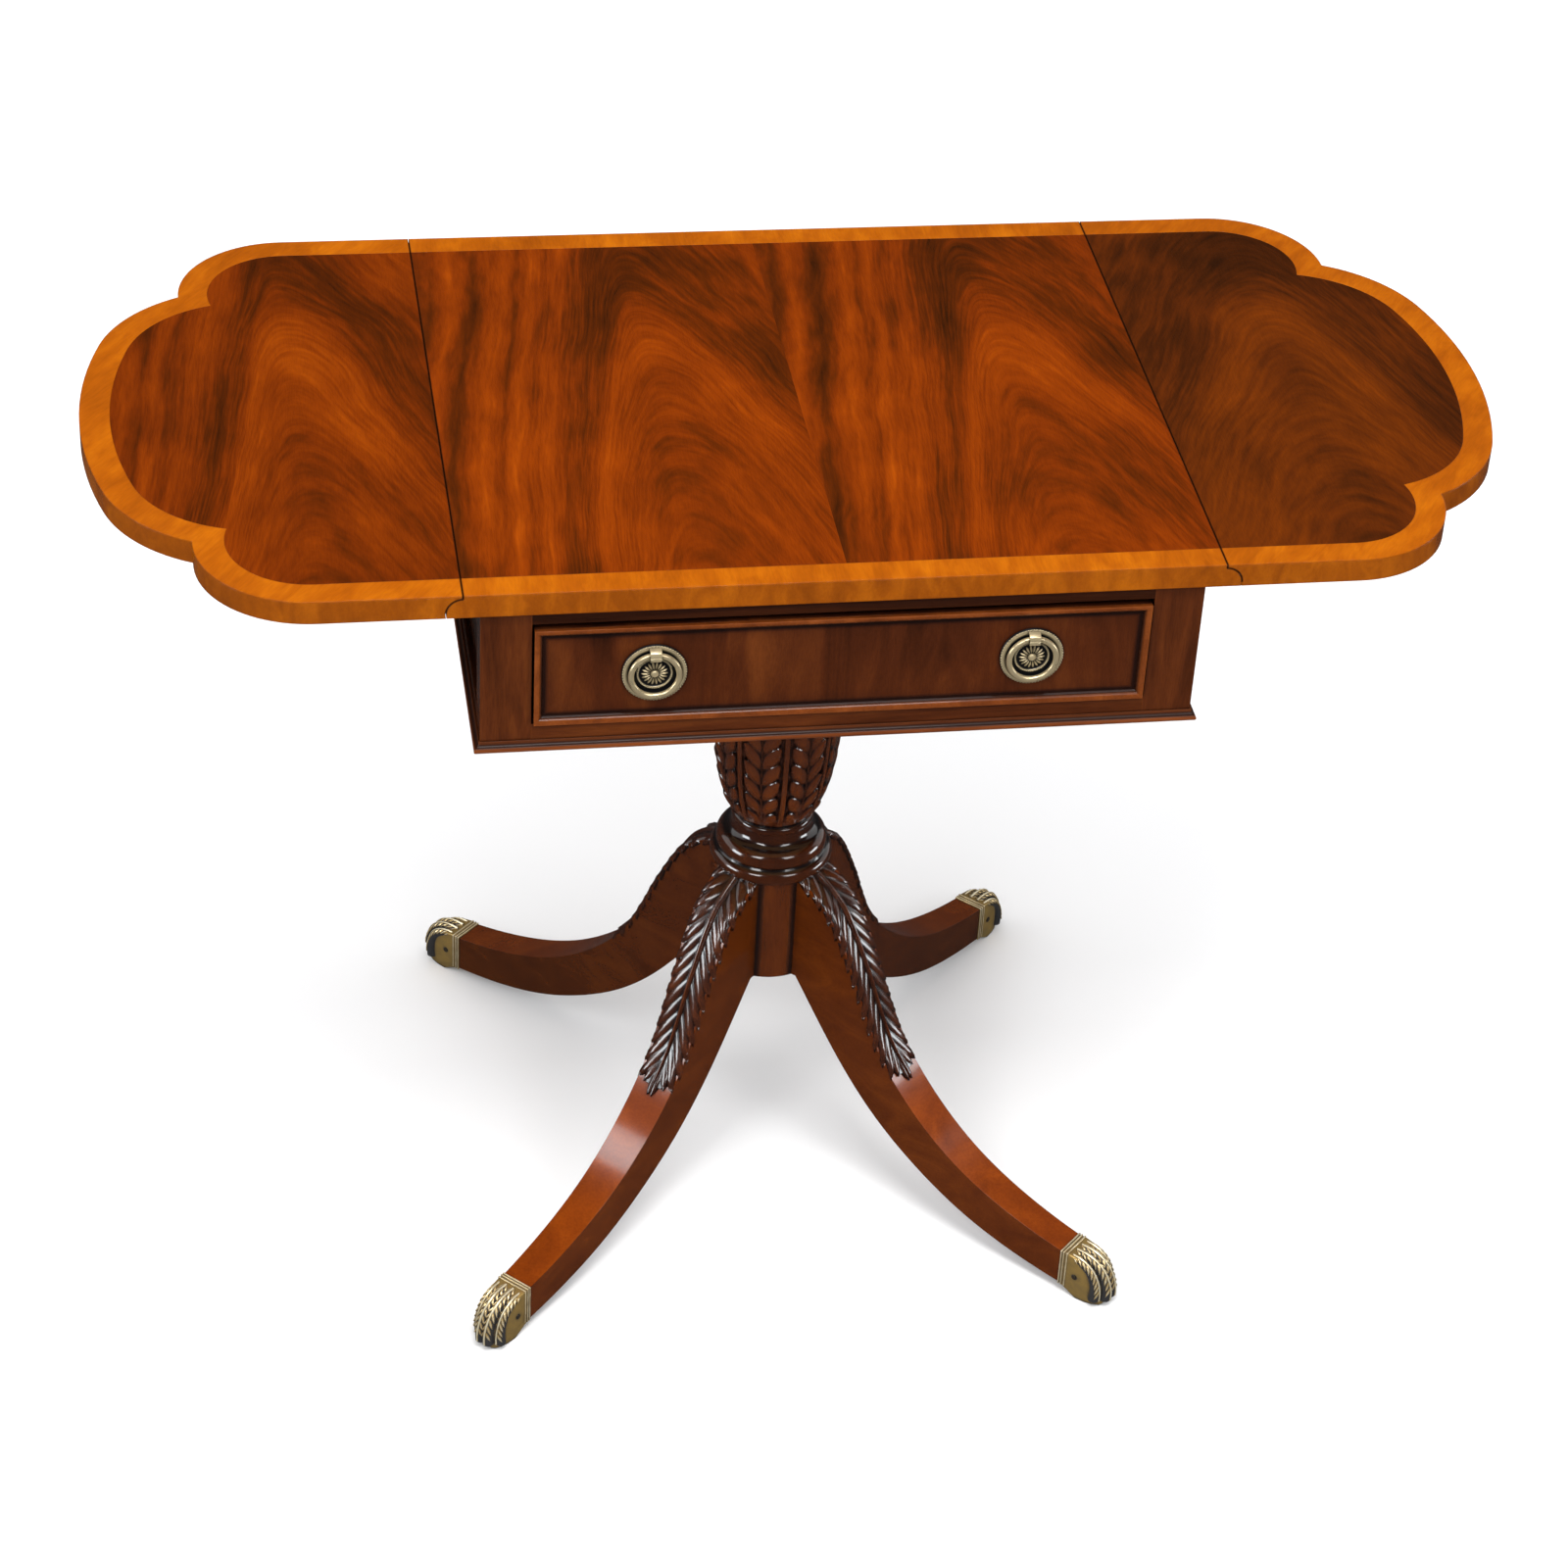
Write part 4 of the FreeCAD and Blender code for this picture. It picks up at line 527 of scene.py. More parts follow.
def finish_nodes():
    """Gives every CAD node its wood or metal."""
    for name, node in NODES.items():
        node.data.materials.clear()
        node.data.materials.append(next(finish for word, finish in FINISHES if word in name))


finish_nodes()


# Small tools for modelling

def fresh():
    """Leaves edit mode and lets go of everything."""
    if bpy.context.object and bpy.context.object.mode != "OBJECT":
        bpy.ops.object.mode_set(mode="OBJECT")
    bpy.ops.object.select_all(action="DESELECT")


def take(piece):
    fresh()
    piece.select_set(True)
    bpy.context.view_layer.objects.active = piece


def rename(piece, name):
    piece.name = name
    piece.data.name = name
    return piece


def named(name):
    """The piece that was made last, with a name."""
    return rename(bpy.context.object, name)


def edit_all():
    """Opens a piece for shaping, all of it selected."""
    bpy.ops.object.mode_set(mode="EDIT")
    bpy.ops.mesh.select_all(action="SELECT")


def draw_out(x, y, z):
    bpy.ops.mesh.extrude_region_move(TRANSFORM_OT_translate={"value": (x, y, z)})


def settle(piece):
    """Puts a piece's place, turn and scale into its mesh."""
    take(piece)
    bpy.ops.object.transform_apply(location=True, rotation=True, scale=True)


def soften(piece, width):
    """Rounds a piece's sharp edges."""
    take(piece)
    bevel = piece.modifiers.new("soft_edges", "BEVEL")
    bevel.width = width
    bevel.segments = 2
    bevel.limit_method = "ANGLE"
    bpy.ops.object.modifier_apply(modifier=bevel.name)


def copy_of(piece, matrix):
    """A copy with its own mesh, moved by a matrix."""
    copied = piece.copy()
    copied.data = piece.data.copy()
    copied.data.transform(matrix)
    bpy.context.scene.collection.objects.link(copied)
    return copied


def upright_turn(degrees):
    return Matrix.Rotation(math.radians(degrees), 4, "Z")


def joined(name, pieces):
    fresh()
    for piece in pieces:
        piece.select_set(True)
    bpy.context.view_layer.objects.active = pieces[0]
    bpy.ops.object.join()
    return named(name)


def discard(*pieces):
    for piece in pieces:
        bpy.data.objects.remove(piece, do_unlink=True)


def tidy_mesh(piece, merge=0.0):
    """Merges doubles where asked and turns every face outwards."""
    take(piece)
    edit_all()
    if merge:
        bpy.ops.mesh.remove_doubles(threshold=merge)
    bpy.ops.mesh.normals_make_consistent(inside=False)
    bpy.ops.object.mode_set(mode="OBJECT")


def complete(piece, material, body, angle, stands_for=()):
    """Last steps of a piece: faces outwards, smooth shading, finish and the body it rides on."""
    tidy_mesh(piece)
    bpy.ops.object.shade_smooth_by_angle(angle=math.radians(angle))
    piece.data.materials.clear()
    piece.data.materials.append(material)
    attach(piece, body)
    if stands_for:
        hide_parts(*stands_for)


def relief(name, cuts_long, cuts_wide, shape):
    """A closed relief: a grid with thickness whose points shape(along, across, top) puts in place.

    along goes from 0 to 1, across from -1 to 1, top says whether the point is on the face."""
    fresh()
    bpy.ops.mesh.primitive_grid_add(x_subdivisions=cuts_long, y_subdivisions=cuts_wide, size=2.0)
    piece = named(name)
    edit_all()
    draw_out(0.0, 0.0, 1.0)
    bpy.ops.object.mode_set(mode="OBJECT")
    for corner in piece.data.vertices:
        corner.co = shape((corner.co.x + 1.0) / 2.0, corner.co.y, corner.co.z > 0.5)
    tidy_mesh(piece, 1e-6)
    return piece


def lathe(name, outline, segments):
    """A turning about Z: a circle drawn up through (radius, height) steps, closed at both ends."""
    fresh()
    radius, height = outline[0]
    bpy.ops.mesh.primitive_circle_add(vertices=segments, radius=radius, location=(0, 0, height),
                                      fill_type="NGON")
    piece = named(name)
    edit_all()
    for next_radius, next_height in outline[1:]:
        draw_out(0.0, 0.0, next_height - height)
        grow = next_radius / radius
        bpy.ops.transform.resize(value=(grow, grow, 1.0), center_override=(0.0, 0.0, next_height))
        radius, height = next_radius, next_height
    bpy.ops.object.mode_set(mode="OBJECT")
    settle(piece)
    tidy_mesh(piece, 1e-7)
    return piece


def from_to(ends, share):
    """A value on the way from the first of two to the last."""
    return ends[0] + (ends[1] - ends[0]) * share


def smooth_line(points, steps=16):
    """Close-set points on a smooth line through the given ones, and each one's length from the start."""
    dense = []
    for index in range(len(points) - 1):
        before, first = Vector(points[max(index - 1, 0)]), Vector(points[index])
        second, after = Vector(points[index + 1]), Vector(points[min(index + 2, len(points) - 1)])
        for step in range(steps):
            t = step / steps
            dense.append(0.5 * (2 * first + (second - before) * t
                                + (2 * before - 5 * first + 4 * second - after) * t ** 2
                                + (3 * first - before - 3 * second + after) * t ** 3))
    dense.append(Vector(points[-1]))
    lengths = [0.0]
    for first, second in zip(dense, dense[1:]):
        lengths.append(lengths[-1] + (second - first).length)
    return dense, lengths


def along_line(line, length):
    """Place and direction at a length along a smooth line."""
    dense, lengths = line
    index = min(max(bisect.bisect_right(lengths, length) - 1, 0), len(dense) - 2)
    step = dense[index + 1] - dense[index]
    return dense[index] + step * ((length - lengths[index]) / step.length), step.normalized()


def mark_raised(piece, low, high):
    """Keeps how high each point of a flat carving stands: 0 on its ground, 1 on its crests."""
    kept = piece.data.attributes.new("raised", "FLOAT", "POINT")
    for corner in piece.data.vertices:
        kept.data[corner.index].value = min(max((corner.co.z - low) / (high - low), 0.0), 1.0)


def wrapped(piece, place):
    """Lays a flat carving (along x, across y, raised z) on a surface."""
    for corner in piece.data.vertices:
        corner.co = place(*corner.co)
    return piece


def on_leg(line, half_width, arris):
    """Places on the top of a leg that points along X, over its arrises and down its sides."""
    def place(along, across, raised):
        point, way = along_line(line, along)
        flat = half_width(along) - arris
        sign = math.copysign(1.0, across)
        beyond = abs(across) - flat
        if beyond <= 0:
            sideways, lift = across, raised
        elif beyond < arris * math.pi / 2:
            bend = beyond / arris
            sideways = sign * (flat + (arris + raised) * math.sin(bend))
            lift = (arris + raised) * math.cos(bend) - arris
        else:
            sideways = sign * (flat + arris + raised)
            lift = -arris - (beyond - arris * math.pi / 2)
        spot = point + Vector((-way.y, way.x)) * lift
        return Vector((spot.x, sideways, spot.y))
    return place


def on_turning(line):
    """Places on a turned column, from the side that faces along X round it."""
    def place(along, across, raised):
        point, way = along_line(line, along)
        angle = across / point.x
        spot = point + Vector((way.y, -way.x)) * raised
        return Vector((spot.x * math.cos(angle), spot.x * math.sin(angle), spot.y))
    return place


def on_toe(line, thickness):
    """Places round a toe that runs along a line in the foot's upright plane."""
    def place(along, across, raised):
        point, way = along_line(line, along)
        radius = thickness(along)
        angle = across / radius
        spot = point + Vector((-way.y, way.x)) * ((radius + raised) * math.cos(angle))
        return Vector((spot.x, (radius + raised) * math.sin(angle), spot.y))
    return place


# Carved leaves

def leaflet_shape(along, across, top):
    """A pointed tongue with a creased middle, thicker towards its tip."""
    width = math.sin(math.pi * (0.16 + 0.84 * along)) ** 0.75
    swell = (0.3 + 0.7 * along) * (1.0 - 0.5 * along ** 6)
    crown = (1.0 - 0.92 * across ** 2 - 0.16 * (1.0 - abs(across)) ** 2) * swell
    return along, 0.5 * across * width - 0.16 * along ** 2.2, crown if top else -0.25


def barb_shape(along, across, top):
    """One thin lock of hair."""
    width = math.sin(math.pi * (0.2 + 0.8 * along)) ** 0.8
    crown = (1.0 - 0.7 * across ** 2) * (0.5 + 0.5 * along)
    return along, 0.5 * across * width - 0.2 * along ** 2, crown if top else -0.4


LEAFLET = relief("leaflet", 7, 4, leaflet_shape)
BARB = relief("barb", 4, 2, barb_shape)


def feather(name, pattern, rows, extras=()):
    """A flat leaf: pairs of copied leaflets along a midrib.

    rows are (along, off the middle, length, width, height, angle); each is laid on both sides."""
    pieces = list(extras)
    for along, off, length, width, height, angle in rows:
        for side in (1, -1):
            matrix = (Matrix.Translation((along, side * off, 0.0)) @ Matrix.Diagonal((1, side, 1, 1))
                      @ upright_turn(angle) @ Matrix.Diagonal((length, width, height, 1)))
            pieces.append(copy_of(pattern, matrix))
    return joined(name, pieces)


# Smoothing angles of the carving and the brass, in degrees
CARVING_SMOOTH = 50
BRASS_SMOOTH = 45
# How deep the underside of a carving lies in what carries it
ROOT = -0.001
DEEP_ROOT = -0.0015

# Line of a leg's top from under the collar to its paw, out from the middle and up
KNEE_LINE = smooth_line([(0.045, 0.284), (0.0735, 0.2634), (0.0992, 0.2175), (0.1141, 0.1836),
                         (0.1317, 0.1497), (0.1656, 0.1098), (0.2103, 0.0764), (0.2632, 0.0541),
                         (0.316, 0.042)])
LEG_HALF_WIDTHS = (0.019, 0.013)
LEG_ARRIS = 0.003
# The knee leaf along that line, with its ground and its midrib; pairs of values are its first and last
KNEE_START = -0.004
KNEE_LENGTH = 0.192
KNEE_TIP_SHARE = 0.14
BLADE_SHORT = 0.006
BLADE_HEIGHT = 0.0011
BLADE_INSETS = (0.0004, 0.004)
MIDRIB_HALF_WIDTHS = (0.0034, 0.0012)
MIDRIB_HEIGHTS = (0.0046, 0.0033)
# Its leaflets
KNEE_PAIRS = 13
FIRST_LEAFLET = -0.022
LEAFLETS_SHORT = 0.019
LEAFLET_RUN = 0.024
LEAFLET_OFF = 0.0012
LEAFLET_OVERHANG = 1.14
LEAFLET_ANGLES = (33, 27)
LEAFLET_WIDTHS = (0.0126, 0.0116)
LEAFLET_HEIGHTS = (0.0048, 0.0042)
# Heights of its ground and crests
KNEE_RANGE = (0.0009, 0.0034)
# Two side lobes and a middle one in two halves at its tip, as rows of a feather
KNEE_LOBES = [(KNEE_LENGTH - 0.03, 0.001, 0.026, 0.0115, 0.0036, 24),
              (KNEE_LENGTH - 0.026, 0.0004, 0.029, 0.009, 0.0036, 6)]


def leg_half_width(along):
    return from_to(LEG_HALF_WIDTHS, min(along / KNEE_LINE[1][-1], 1.0))


def knee_reach(along):
    """Half width of the knee leaf, that of the leg's top, pointed at its tip."""
    tip = max(0.0, (along / KNEE_LENGTH - 1.0 + KNEE_TIP_SHARE) / KNEE_TIP_SHARE)
    return leg_half_width(along) * (1.0 - 0.45 * tip ** 1.5)


def carve_knees():
    """The long acanthus leaf on the knee of each leg."""
    def blade(along, across, top):
        length = KNEE_START + along * (KNEE_LENGTH - KNEE_START - BLADE_SHORT)
        half = knee_reach(length) - from_to(BLADE_INSETS, min(2.0 * along, 1.0))
        return length, across * half, BLADE_HEIGHT if top else DEEP_ROOT

    def midrib(along, across, top):
        length = KNEE_START + along * (KNEE_LENGTH - KNEE_START)
        half = from_to(MIDRIB_HALF_WIDTHS, along)
        groove = 0.0009 if 0.3 < abs(across) < 0.7 else 0.0
        crown = from_to(MIDRIB_HEIGHTS, along) - 0.0024 * across ** 2 - groove
        return length, across * half, crown if top else ROOT

    rows = []
    for pair in range(KNEE_PAIRS):
        share = pair / (KNEE_PAIRS - 1)
        along = FIRST_LEAFLET + share * (KNEE_LENGTH - LEAFLETS_SHORT)
        angle = from_to(LEAFLET_ANGLES, share)
        reach = knee_reach(min(max(along, 0.0) + LEAFLET_RUN, KNEE_LENGTH * 0.9))
        length = LEAFLET_OVERHANG * reach / math.sin(math.radians(angle))
        width = from_to(LEAFLET_WIDTHS, share)
        height = from_to(LEAFLET_HEIGHTS, share)
        rows.append((along, LEAFLET_OFF, length, width, height, angle))
    grounds = (relief("blade", 40, 6, blade), relief("midrib", 40, 8, midrib))
    leaf = feather("knee_leaf", LEAFLET, rows + KNEE_LOBES, grounds)
    mark_raised(leaf, *KNEE_RANGE)
    wrapped(leaf, on_leg(KNEE_LINE, leg_half_width, LEG_ARRIS))
    for corner, turn in LEG_TURNS.items():
        copied = rename(copy_of(leaf, upright_turn(turn)), corner + "_knee_leaf")
        complete(copied, WOODS["carving"], "table", CARVING_SMOOTH)
    discard(leaf)


# Outline of the vase from its foot to its throat, out from the middle and up
VASE_LINE = smooth_line([(0.030, 0.331), (0.0327, 0.3329), (0.03975, 0.3511), (0.0433, 0.3653),
                         (0.0468, 0.3902), (0.0495, 0.438), (0.0468, 0.4608), (0.03825, 0.4857),
                         (0.03015, 0.5068), (0.027, 0.522)])
VASE_FIRST, VASE_LAST = 0.006, VASE_LINE[1][-1] - 0.016
VASE_PANELS = 8
VASE_PAIRS = 10
VASE_LEAFLET_RUN = 0.012
VASE_LEAFLET_OFF = 0.0014
VASE_LEAFLET_REACH = 0.96
VASE_LEAFLET_HEIGHT = 0.0046
VASE_LEAFLET_ANGLE = 34
RIB_HALF_WIDTH = 0.0026
STEM_HALF_WIDTHS = (0.0012, 0.0007)
PANEL_MARGIN = 0.0032
# Heights of the ground and crests of a leaf and of a rib
VASE_LEAF_RANGE = (0.0004, 0.0028)
RIB_RANGE = (0.0, 0.0016)
FRONT = 270


def carve_vase():
    """Upright ribs round the vase and a tall leaf in each panel between them."""
    def panel_reach(along):
        return math.pi * along_line(VASE_LINE, along)[0].x / VASE_PANELS - PANEL_MARGIN

    def carved_length(along):
        return VASE_FIRST + along * (VASE_LAST - VASE_FIRST)

    def rib(along, across, top):
        crown = 0.0022 - 0.0012 * (1.0 - abs(across)) - 0.0016 * max(0.0, abs(across) - 0.7) / 0.3
        return carved_length(along), across * RIB_HALF_WIDTH, crown if top else ROOT

    def stem(along, across, top):
        crown = 0.0012 - 0.0006 * across ** 2
        return carved_length(along), across * from_to(STEM_HALF_WIDTHS, along), crown if top else ROOT

    rows = []
    for pair in range(VASE_PAIRS):
        along = VASE_FIRST + 0.001 + pair / VASE_PAIRS * (VASE_LAST - VASE_FIRST - VASE_LEAFLET_RUN)
        reach = panel_reach(along + VASE_LEAFLET_RUN)
        length = VASE_LEAFLET_REACH * reach / math.sin(math.radians(VASE_LEAFLET_ANGLE))
        width = 0.003 + 0.72 * reach
        rows.append((along, VASE_LEAFLET_OFF, length, width, VASE_LEAFLET_HEIGHT, VASE_LEAFLET_ANGLE))
    leaf = feather("vase_leaf", LEAFLET, rows, (relief("stem", 30, 4, stem),))
    mark_raised(leaf, *VASE_LEAF_RANGE)
    upright_rib = relief("vase_rib", 36, 6, rib)
    mark_raised(upright_rib, *RIB_RANGE)
    for carved in (upright_rib, leaf):
        wrapped(carved, on_turning(VASE_LINE))
    pieces = []
    for panel in range(VASE_PANELS):
        turn = FRONT + panel * 360 / VASE_PANELS
        pieces.append(copy_of(upright_rib, upright_turn(turn)))
        pieces.append(copy_of(leaf, upright_turn(turn + 180 / VASE_PANELS)))
    carving = joined("vase_carving", pieces)
    complete(carving, WOODS["vase_leaves"], "table", CARVING_SMOOTH)
    discard(leaf, upright_rib)


# Paw feet, modelled on a leg that points along X

# Steps of the cap from its mouth to the toes: place along X, half width, lowest and highest point
PAW_STATIONS = [(0.316, 0.0134, 0.009, 0.0424), (0.3245, 0.0134, 0.005, 0.0424),
                (0.3335, 0.0132, 0.0, 0.0405), (0.3415, 0.0126, 0.0, 0.037), (0.348, 0.0112, 0.0004, 0.031),
                (0.3535, 0.0086, 0.001, 0.021), (0.3555, 0.006, 0.002, 0.012)]
# Ranges of height that give the cap's cheeks and the bands an even tone between ground and crest
CHEEK_RANGE = (-1.0, 1.5)
BAND_RANGE = (-1.0, 0.5)
COLLAR_BANDS = (0.3168, 0.3192, 0.3222)
COLLAR_BAND_SIZE = (0.0014, 0.028, 0.0355)
COLLAR_BAND_HEIGHT = 0.0253
# Middle lines of the inner and outer toes, by their distance from the paw's middle
TOE_LINES = {
    0.0036: [(0.3255, 0.0395), (0.333, 0.0394), (0.341, 0.0375), (0.3485, 0.0325), (0.3538, 0.0245),
             (0.3562, 0.015), (0.3556, 0.0066)],
    0.0102: [(0.3258, 0.0385), (0.332, 0.038), (0.3385, 0.0355), (0.344, 0.031), (0.3480, 0.0235),
             (0.3496, 0.0145), (0.349, 0.0064)],
}
# A toe's radius at its root and at its tip
TOE_RADII = (0.0029, 0.0047)
HAIR_PAIRS = 9
HAIR_STEP = 0.094
# A lock's distance from the toe's spine, length, width, height and angle
HAIR_LOCK = (0.0003, 0.0082, 0.0026, 0.0011, 38)
HAIR_RANGE = (-0.0001, 0.0011)


def draw_cap():
    """The smooth cap, drawn out from its mouth on the leg."""
    fresh()
    bpy.ops.mesh.primitive_plane_add(size=2.0, rotation=(0, math.pi / 2, 0))
    cap = named("cap")
    settle(cap)
    edit_all()
    bpy.ops.mesh.subdivide(number_cuts=3)
    for _ in PAW_STATIONS[1:]:
        draw_out(1.0, 0.0, 0.0)
    bpy.ops.object.mode_set(mode="OBJECT")
    for point in cap.data.vertices:
        out, half, low, high = PAW_STATIONS[round(point.co.x)]
        point.co = (out, point.co.y * half, low + (point.co.z + 1) / 2 * (high - low))
    tidy_mesh(cap, 1e-7)
    soften(cap, 0.0012)
    mark_raised(cap, *CHEEK_RANGE)
    return cap


def collar_band(out):
    """A raised band round the cap's collar."""
    fresh()
    middle = (out, 0.0, COLLAR_BAND_HEIGHT)
    bpy.ops.mesh.primitive_cube_add(size=1.0, location=middle, scale=COLLAR_BAND_SIZE)
    band = named("collar_band")
    settle(band)
    soften(band, 0.0005)
    mark_raised(band, *BAND_RANGE)
    return band


def comb_toe(points):
    """A toe with a spine and combed locks of hair."""
    line = smooth_line(points)
    whole = line[1][-1]

    def thickness(along):
        return from_to(TOE_RADII, min(max(along / whole, 0.0), 1.0))

    def toe(along, across, top):
        reach = math.pi * 0.98 * thickness(along * whole)
        return along * whole, across * reach, 0.0 if top else DEEP_ROOT

    def spine(along, across, top):
        crown = 0.0011 - 0.0006 * across ** 2
        return along * whole * 0.97, across * 0.0009, crown if top else -0.0006

    rows = [(whole * (HAIR_STEP * pair), *HAIR_LOCK) for pair in range(HAIR_PAIRS)]
    grounds = (relief("toe", 20, 12, toe), relief("spine", 20, 2, spine))
    combed = feather("combed_hair", BARB, rows, grounds)
    mark_raised(combed, *HAIR_RANGE)
    return wrapped(combed, on_toe(line, thickness))


def model_paws():
    """Hairy paw caps: collar, smooth cheeks with a screw, and four toes of combed hair."""
    pieces = [draw_cap()] + [collar_band(out) for out in COLLAR_BANDS]
    for sideways, points in TOE_LINES.items():
        toe = comb_toe(points)
        for side in (1, -1):
            pieces.append(copy_of(toe, Matrix.Translation((0.0, side * sideways, 0.0))))
        discard(toe)
    paw = joined("paw", pieces)
    for corner, turn in LEG_TURNS.items():
        copied = rename(copy_of(paw, upright_turn(turn)), corner + "_paw")
        complete(copied, BRASS, "table", BRASS_SMOOTH, (corner + "_paw_cap",))
    discard(paw)


# Drawer pulls, modelled flat, with their face up

PLATE_OUTLINE = [(0.0232, 0.0), (0.0232, 0.001), (0.0226, 0.0019), (0.0214, 0.0025), (0.0202, 0.0025),
                 (0.0192, 0.0019), (0.0187, 0.0013), (0.0140, 0.0012), (0.0130, 0.0014), (0.0127, 0.0021),
                 (0.0121, 0.0025), (0.0115, 0.0021), (0.0110, 0.0013), (0.0040, 0.0014), (0.0031, 0.0018),
                 (0.0029, 0.0030), (0.0020, 0.0040), (0.0008, 0.0044)]
# Line of the strap over the ring: height on the plate and distance from its middle
STRAP_PATH = [(0.0016, 0.0214), (0.0034, 0.0213), (0.0056, 0.0208), (0.0076, 0.0194), (0.0086, 0.0172),
              (0.0084, 0.0148), (0.0076, 0.0134)]
STRAP_WIDTH = 0.0086
STRAP_THICKNESS = 0.0009
STRAP_TAPER = 0.985
PETALS = 18
BEAD_RADIUS = 0.00075
# Count, radius and height of the rim's and the inner circle's beads
BEAD_CIRCLES = ((64, 0.0224, 0.0018), (48, 0.0121, 0.0023))


def petal_shape(along, across, top):
    """One petal of the flower in the plate's middle."""
    width = math.sin(math.pi * (0.12 + 0.8 * along)) ** 0.8
    crown = 0.0022 + 0.0012 * math.sin(math.pi * along) - 0.0009 * across ** 2
    return 0.0028 + along * 0.0066, across * 0.0012 * width * (0.5 + 0.5 * along), crown if top else 0.001


def draw_strap():
    """A strip drawn out from the rim, over the ring and down before it."""
    fresh()
    bpy.ops.mesh.primitive_plane_add(size=STRAP_WIDTH, location=(0.0, STRAP_PATH[0][1], STRAP_PATH[0][0]))
    bpy.ops.transform.resize(value=(1.0, STRAP_THICKNESS / STRAP_WIDTH, 1.0))
    strap = named("strap")
    settle(strap)
    edit_all()
    for before, after in zip(STRAP_PATH, STRAP_PATH[1:]):
        draw_out(0.0, after[1] - before[1], after[0] - before[0])
        bpy.ops.transform.resize(value=(STRAP_TAPER, 1.0, 1.0), center_override=(0.0, after[1], after[0]))
    bpy.ops.object.mode_set(mode="OBJECT")
    soften(strap, 0.0003)
    return strap


def model_pulls():
    """Round stamped plates with a beaded edge, a flower in a beaded circle and a strap over the ring."""
    pieces = [lathe("plate", PLATE_OUTLINE, 72)]
    fresh()
    bpy.ops.mesh.primitive_uv_sphere_add(segments=6, ring_count=4, radius=BEAD_RADIUS)
    bead = named("bead")
    for count, radius, height in BEAD_CIRCLES:
        for index in range(count):
            turn = 2 * math.pi * index / count
            place = (radius * math.cos(turn), radius * math.sin(turn), height)
            pieces.append(copy_of(bead, Matrix.Translation(place)))
    petal = relief("petal", 5, 4, petal_shape)
    pieces += [copy_of(petal, upright_turn(360 * index / PETALS)) for index in range(PETALS)]
    pieces.append(draw_strap())
    flat = joined("pull_plate", pieces)
    forwards = Matrix.Rotation(math.pi / 2, 4, "X")
    plates = [copy_of(flat, Matrix.Translation((side * PULL_SPREAD, FRIEZE_FACE, PULL_HEIGHT)) @ forwards)
              for side in (-1, 1)]
    discard(flat, bead, petal)
    stamped = joined("stamped_plates", plates)
    complete(stamped, PLATE_BRASS, "drawer", BRASS_SMOOTH, ("pull_plates",))


carve_knees()
carve_vase()
model_paws()
model_pulls()
discard(LEAFLET, BARB)


# Studio

CAMERA_PLACE = (-0.4636, -2.5366, 2.2251)
# Azimuth, elevation and roll, in degrees
CAMERA_TURNS = (-11.88, 36.2, 4.21)
CAMERA_LENS = 91.785
CAMERA_SHIFT = (-0.0477, 0.0122)
FLOOR_SIZE = 30.0
PALE = (0.92, 0.92, 0.92, 1.0)
ROOM_TINT = (0.97, 0.98, 1.0, 1.0)
ROOM_LIGHT = 0.75
ROOM_IN_GLOSS = 0.04
WHITE = (1.0, 1.0, 1.0)
COOL = (0.9, 0.96, 1.0)
# Name, place, aim, width, height and power of each soft light
SOFT_LIGHTS = [
    ("left_window", (-1.7, -2.2, 2.9), (0, 0, 0.4), 1.1, 1.5, 43.0),
    ("right_window", (1.5, -2.4, 2.9), (0, 0, 0.4), 1.1, 1.5, 28.0),
    ("front_window", (0.0, -1.5, 3.5), (0, -0.1, 0.4), 1.4, 0.9, 66.0),
    ("left_side", (-2.6, 0.9, 1.9), (0, 0, 0.35), 2.2, 2.2, 14.0),
    ("right_side", (2.6, 1.2, 1.2), (0, 0, 0.35), 2.0, 2.0, 9.0),
    ("ceiling", (0.0, 0.3, 3.4), (0, 0, 0.6), 2.6, 2.2, 34.0),
]
# Panels beside the table that only its gloss mirrors: low ones in the carving, high ones on the legs
SHEEN_PANELS = [
    ("left_low_sheen", (-2.4, -0.5, 0.9), (0, 0, 0.2), 0.9, 0.8, 24.0),
    ("right_low_sheen", (2.5, -0.3, 0.6), (0, 0, 0.2), 0.9, 0.6, 15.0),
    ("left_high_sheen", (-2.2, 0.0, 2.5), (0, 0, 0.2), 0.9, 0.55, 12.0),
    ("right_high_sheen", (2.2, 0.1, 2.3), (0, 0, 0.2), 0.5, 0.35, 2.0),
]


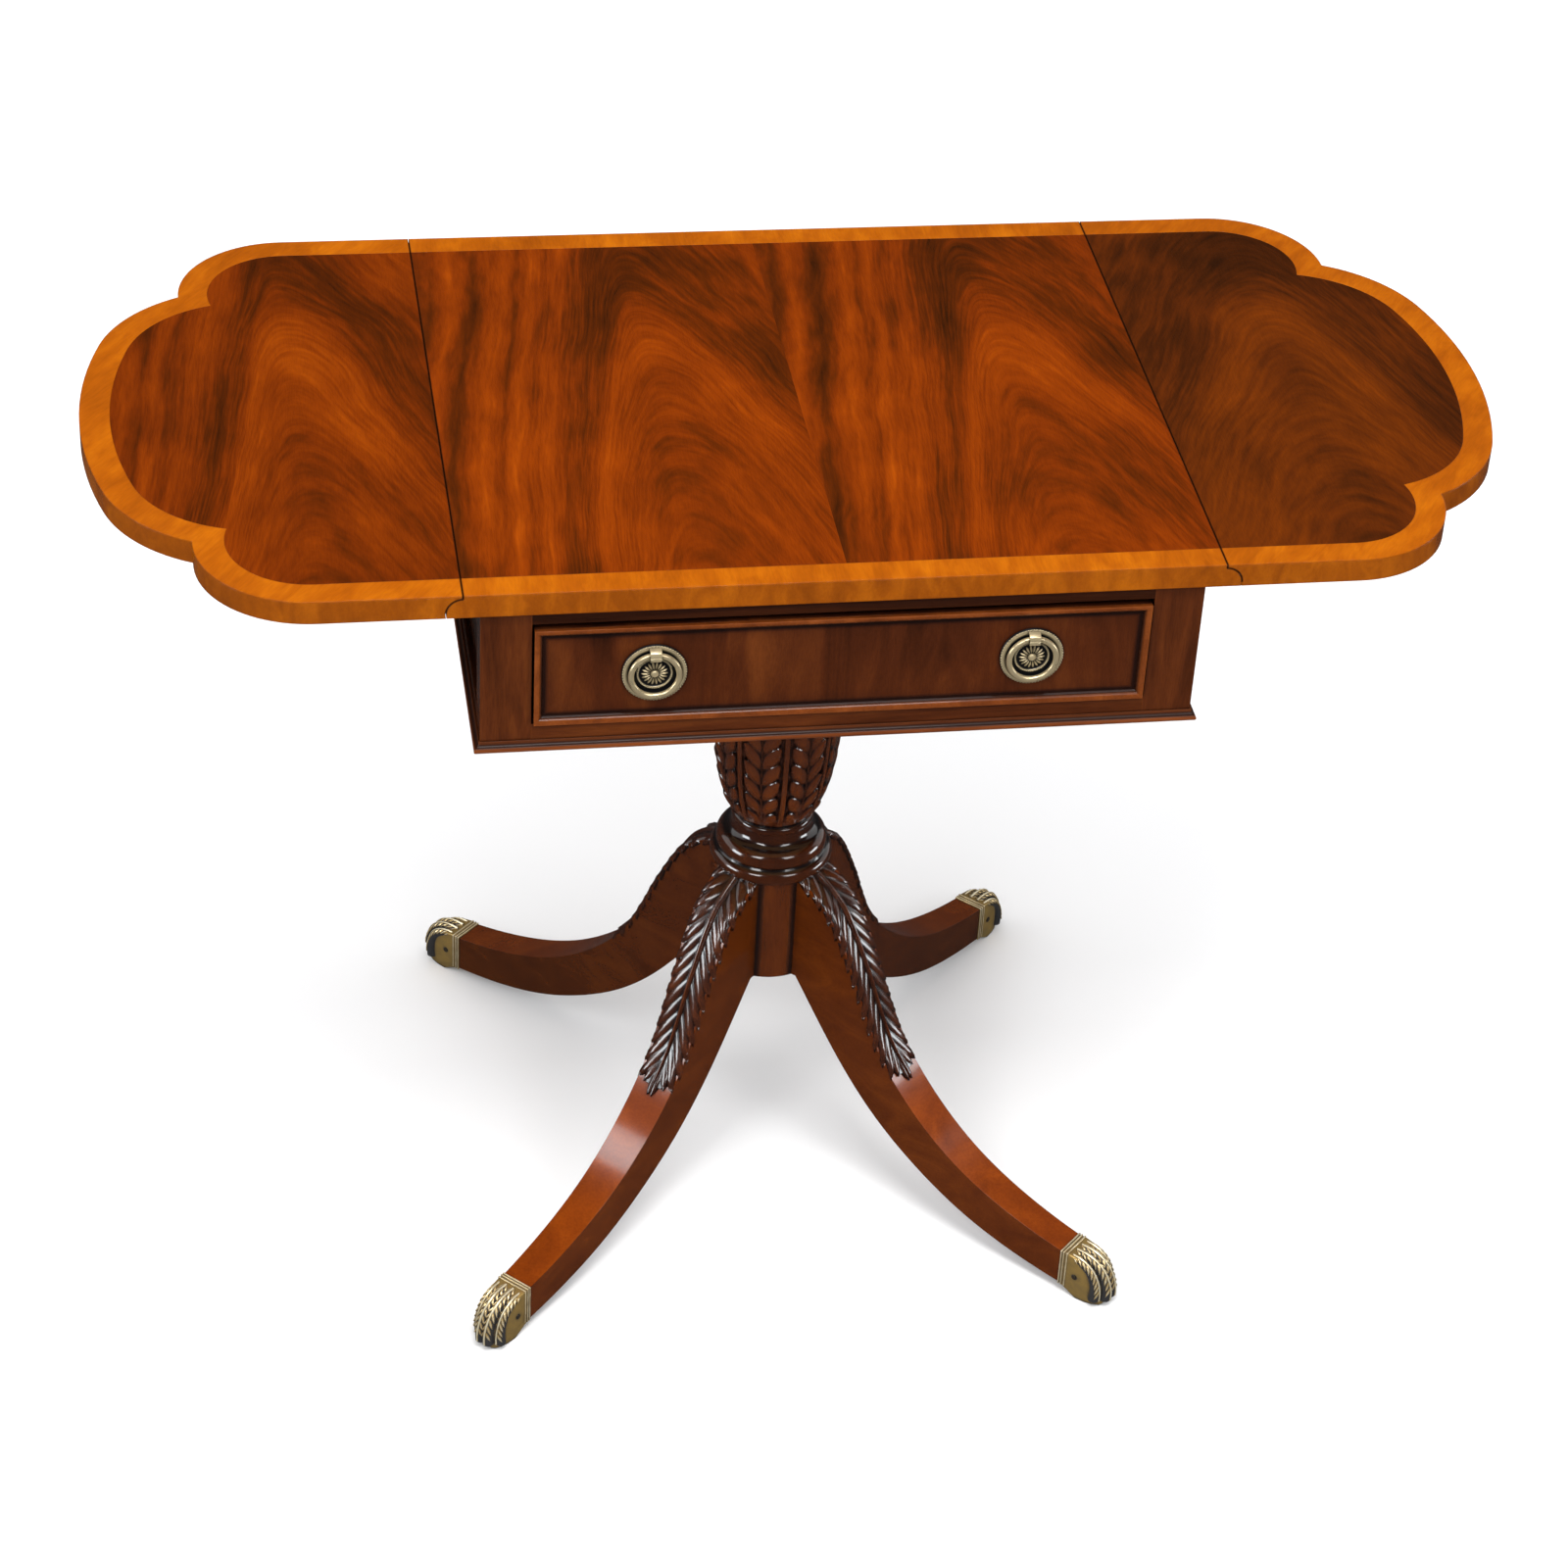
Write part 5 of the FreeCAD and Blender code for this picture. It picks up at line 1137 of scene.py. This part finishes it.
def place_camera():
    """The camera at the photograph's stand."""
    azimuth, elevation, roll = (math.radians(turn) for turn in CAMERA_TURNS)
    back = Vector((math.sin(azimuth) * math.cos(elevation), -math.cos(azimuth) * math.cos(elevation),
                   math.sin(elevation)))
    level = (-back).cross(Vector((0, 0, 1))).normalized()
    upright = level.cross(-back)
    right = level * math.cos(roll) + upright * math.sin(roll)
    up = upright * math.cos(roll) - level * math.sin(roll)
    lens = bpy.data.cameras.new("camera")
    lens.lens = CAMERA_LENS
    lens.sensor_width = 36.0
    lens.shift_x, lens.shift_y = CAMERA_SHIFT
    stand = bpy.data.objects.new("camera", lens)
    stand.matrix_world = Matrix((right, up, back)).transposed().to_4x4()
    stand.location = CAMERA_PLACE
    bpy.context.scene.collection.objects.link(stand)
    bpy.context.scene.camera = stand


def lay_floor():
    """A pale floor that the gloss doesn't mirror."""
    fresh()
    bpy.ops.mesh.primitive_plane_add(size=FLOOR_SIZE, location=(0, 0, 0))
    floor = bpy.context.object
    floor.name = "studio_floor"
    floor.visible_glossy = False
    made, _, shader = new_material("pale_floor")
    shader.inputs["Base Color"].default_value = PALE
    shader.inputs["Roughness"].default_value = 0.9
    floor.data.materials.append(made)


def light_room():
    """A bright room for the camera and for soft light, a dim one for the gloss to mirror."""
    world = bpy.data.worlds.new("studio")
    world.use_nodes = True
    tree = world.node_tree
    sky = tree.nodes["Background"]
    sky.inputs[0].default_value = ROOM_TINT
    glossy = put(tree, "ShaderNodeLightPath").outputs["Is Glossy Ray"]
    tree.links.new(mapped(tree, glossy, 0.0, 1.0, ROOM_LIGHT, ROOM_IN_GLOSS), sky.inputs[1])
    bpy.context.scene.world = world


def hang_light(name, place, aim, width, height, power, tint, sheen_only):
    """A soft light that points at its aim."""
    glow = bpy.data.lights.new(name, "AREA")
    glow.shape = "RECTANGLE"
    glow.size = width
    glow.size_y = height
    glow.energy = power
    glow.color = tint
    lamp = bpy.data.objects.new(name, glow)
    lamp.location = place
    lamp.rotation_euler = (Vector(aim) - Vector(place)).to_track_quat("-Z", "Y").to_euler()
    lamp.visible_diffuse = not sheen_only
    bpy.context.scene.collection.objects.link(lamp)


place_camera()
lay_floor()
light_room()
for light in SOFT_LIGHTS:
    hang_light(*light, WHITE, sheen_only=False)
for panel in SHEEN_PANELS:
    hang_light(*panel, COOL, sheen_only=True)
bpy.context.scene.view_settings.view_transform = "Standard"
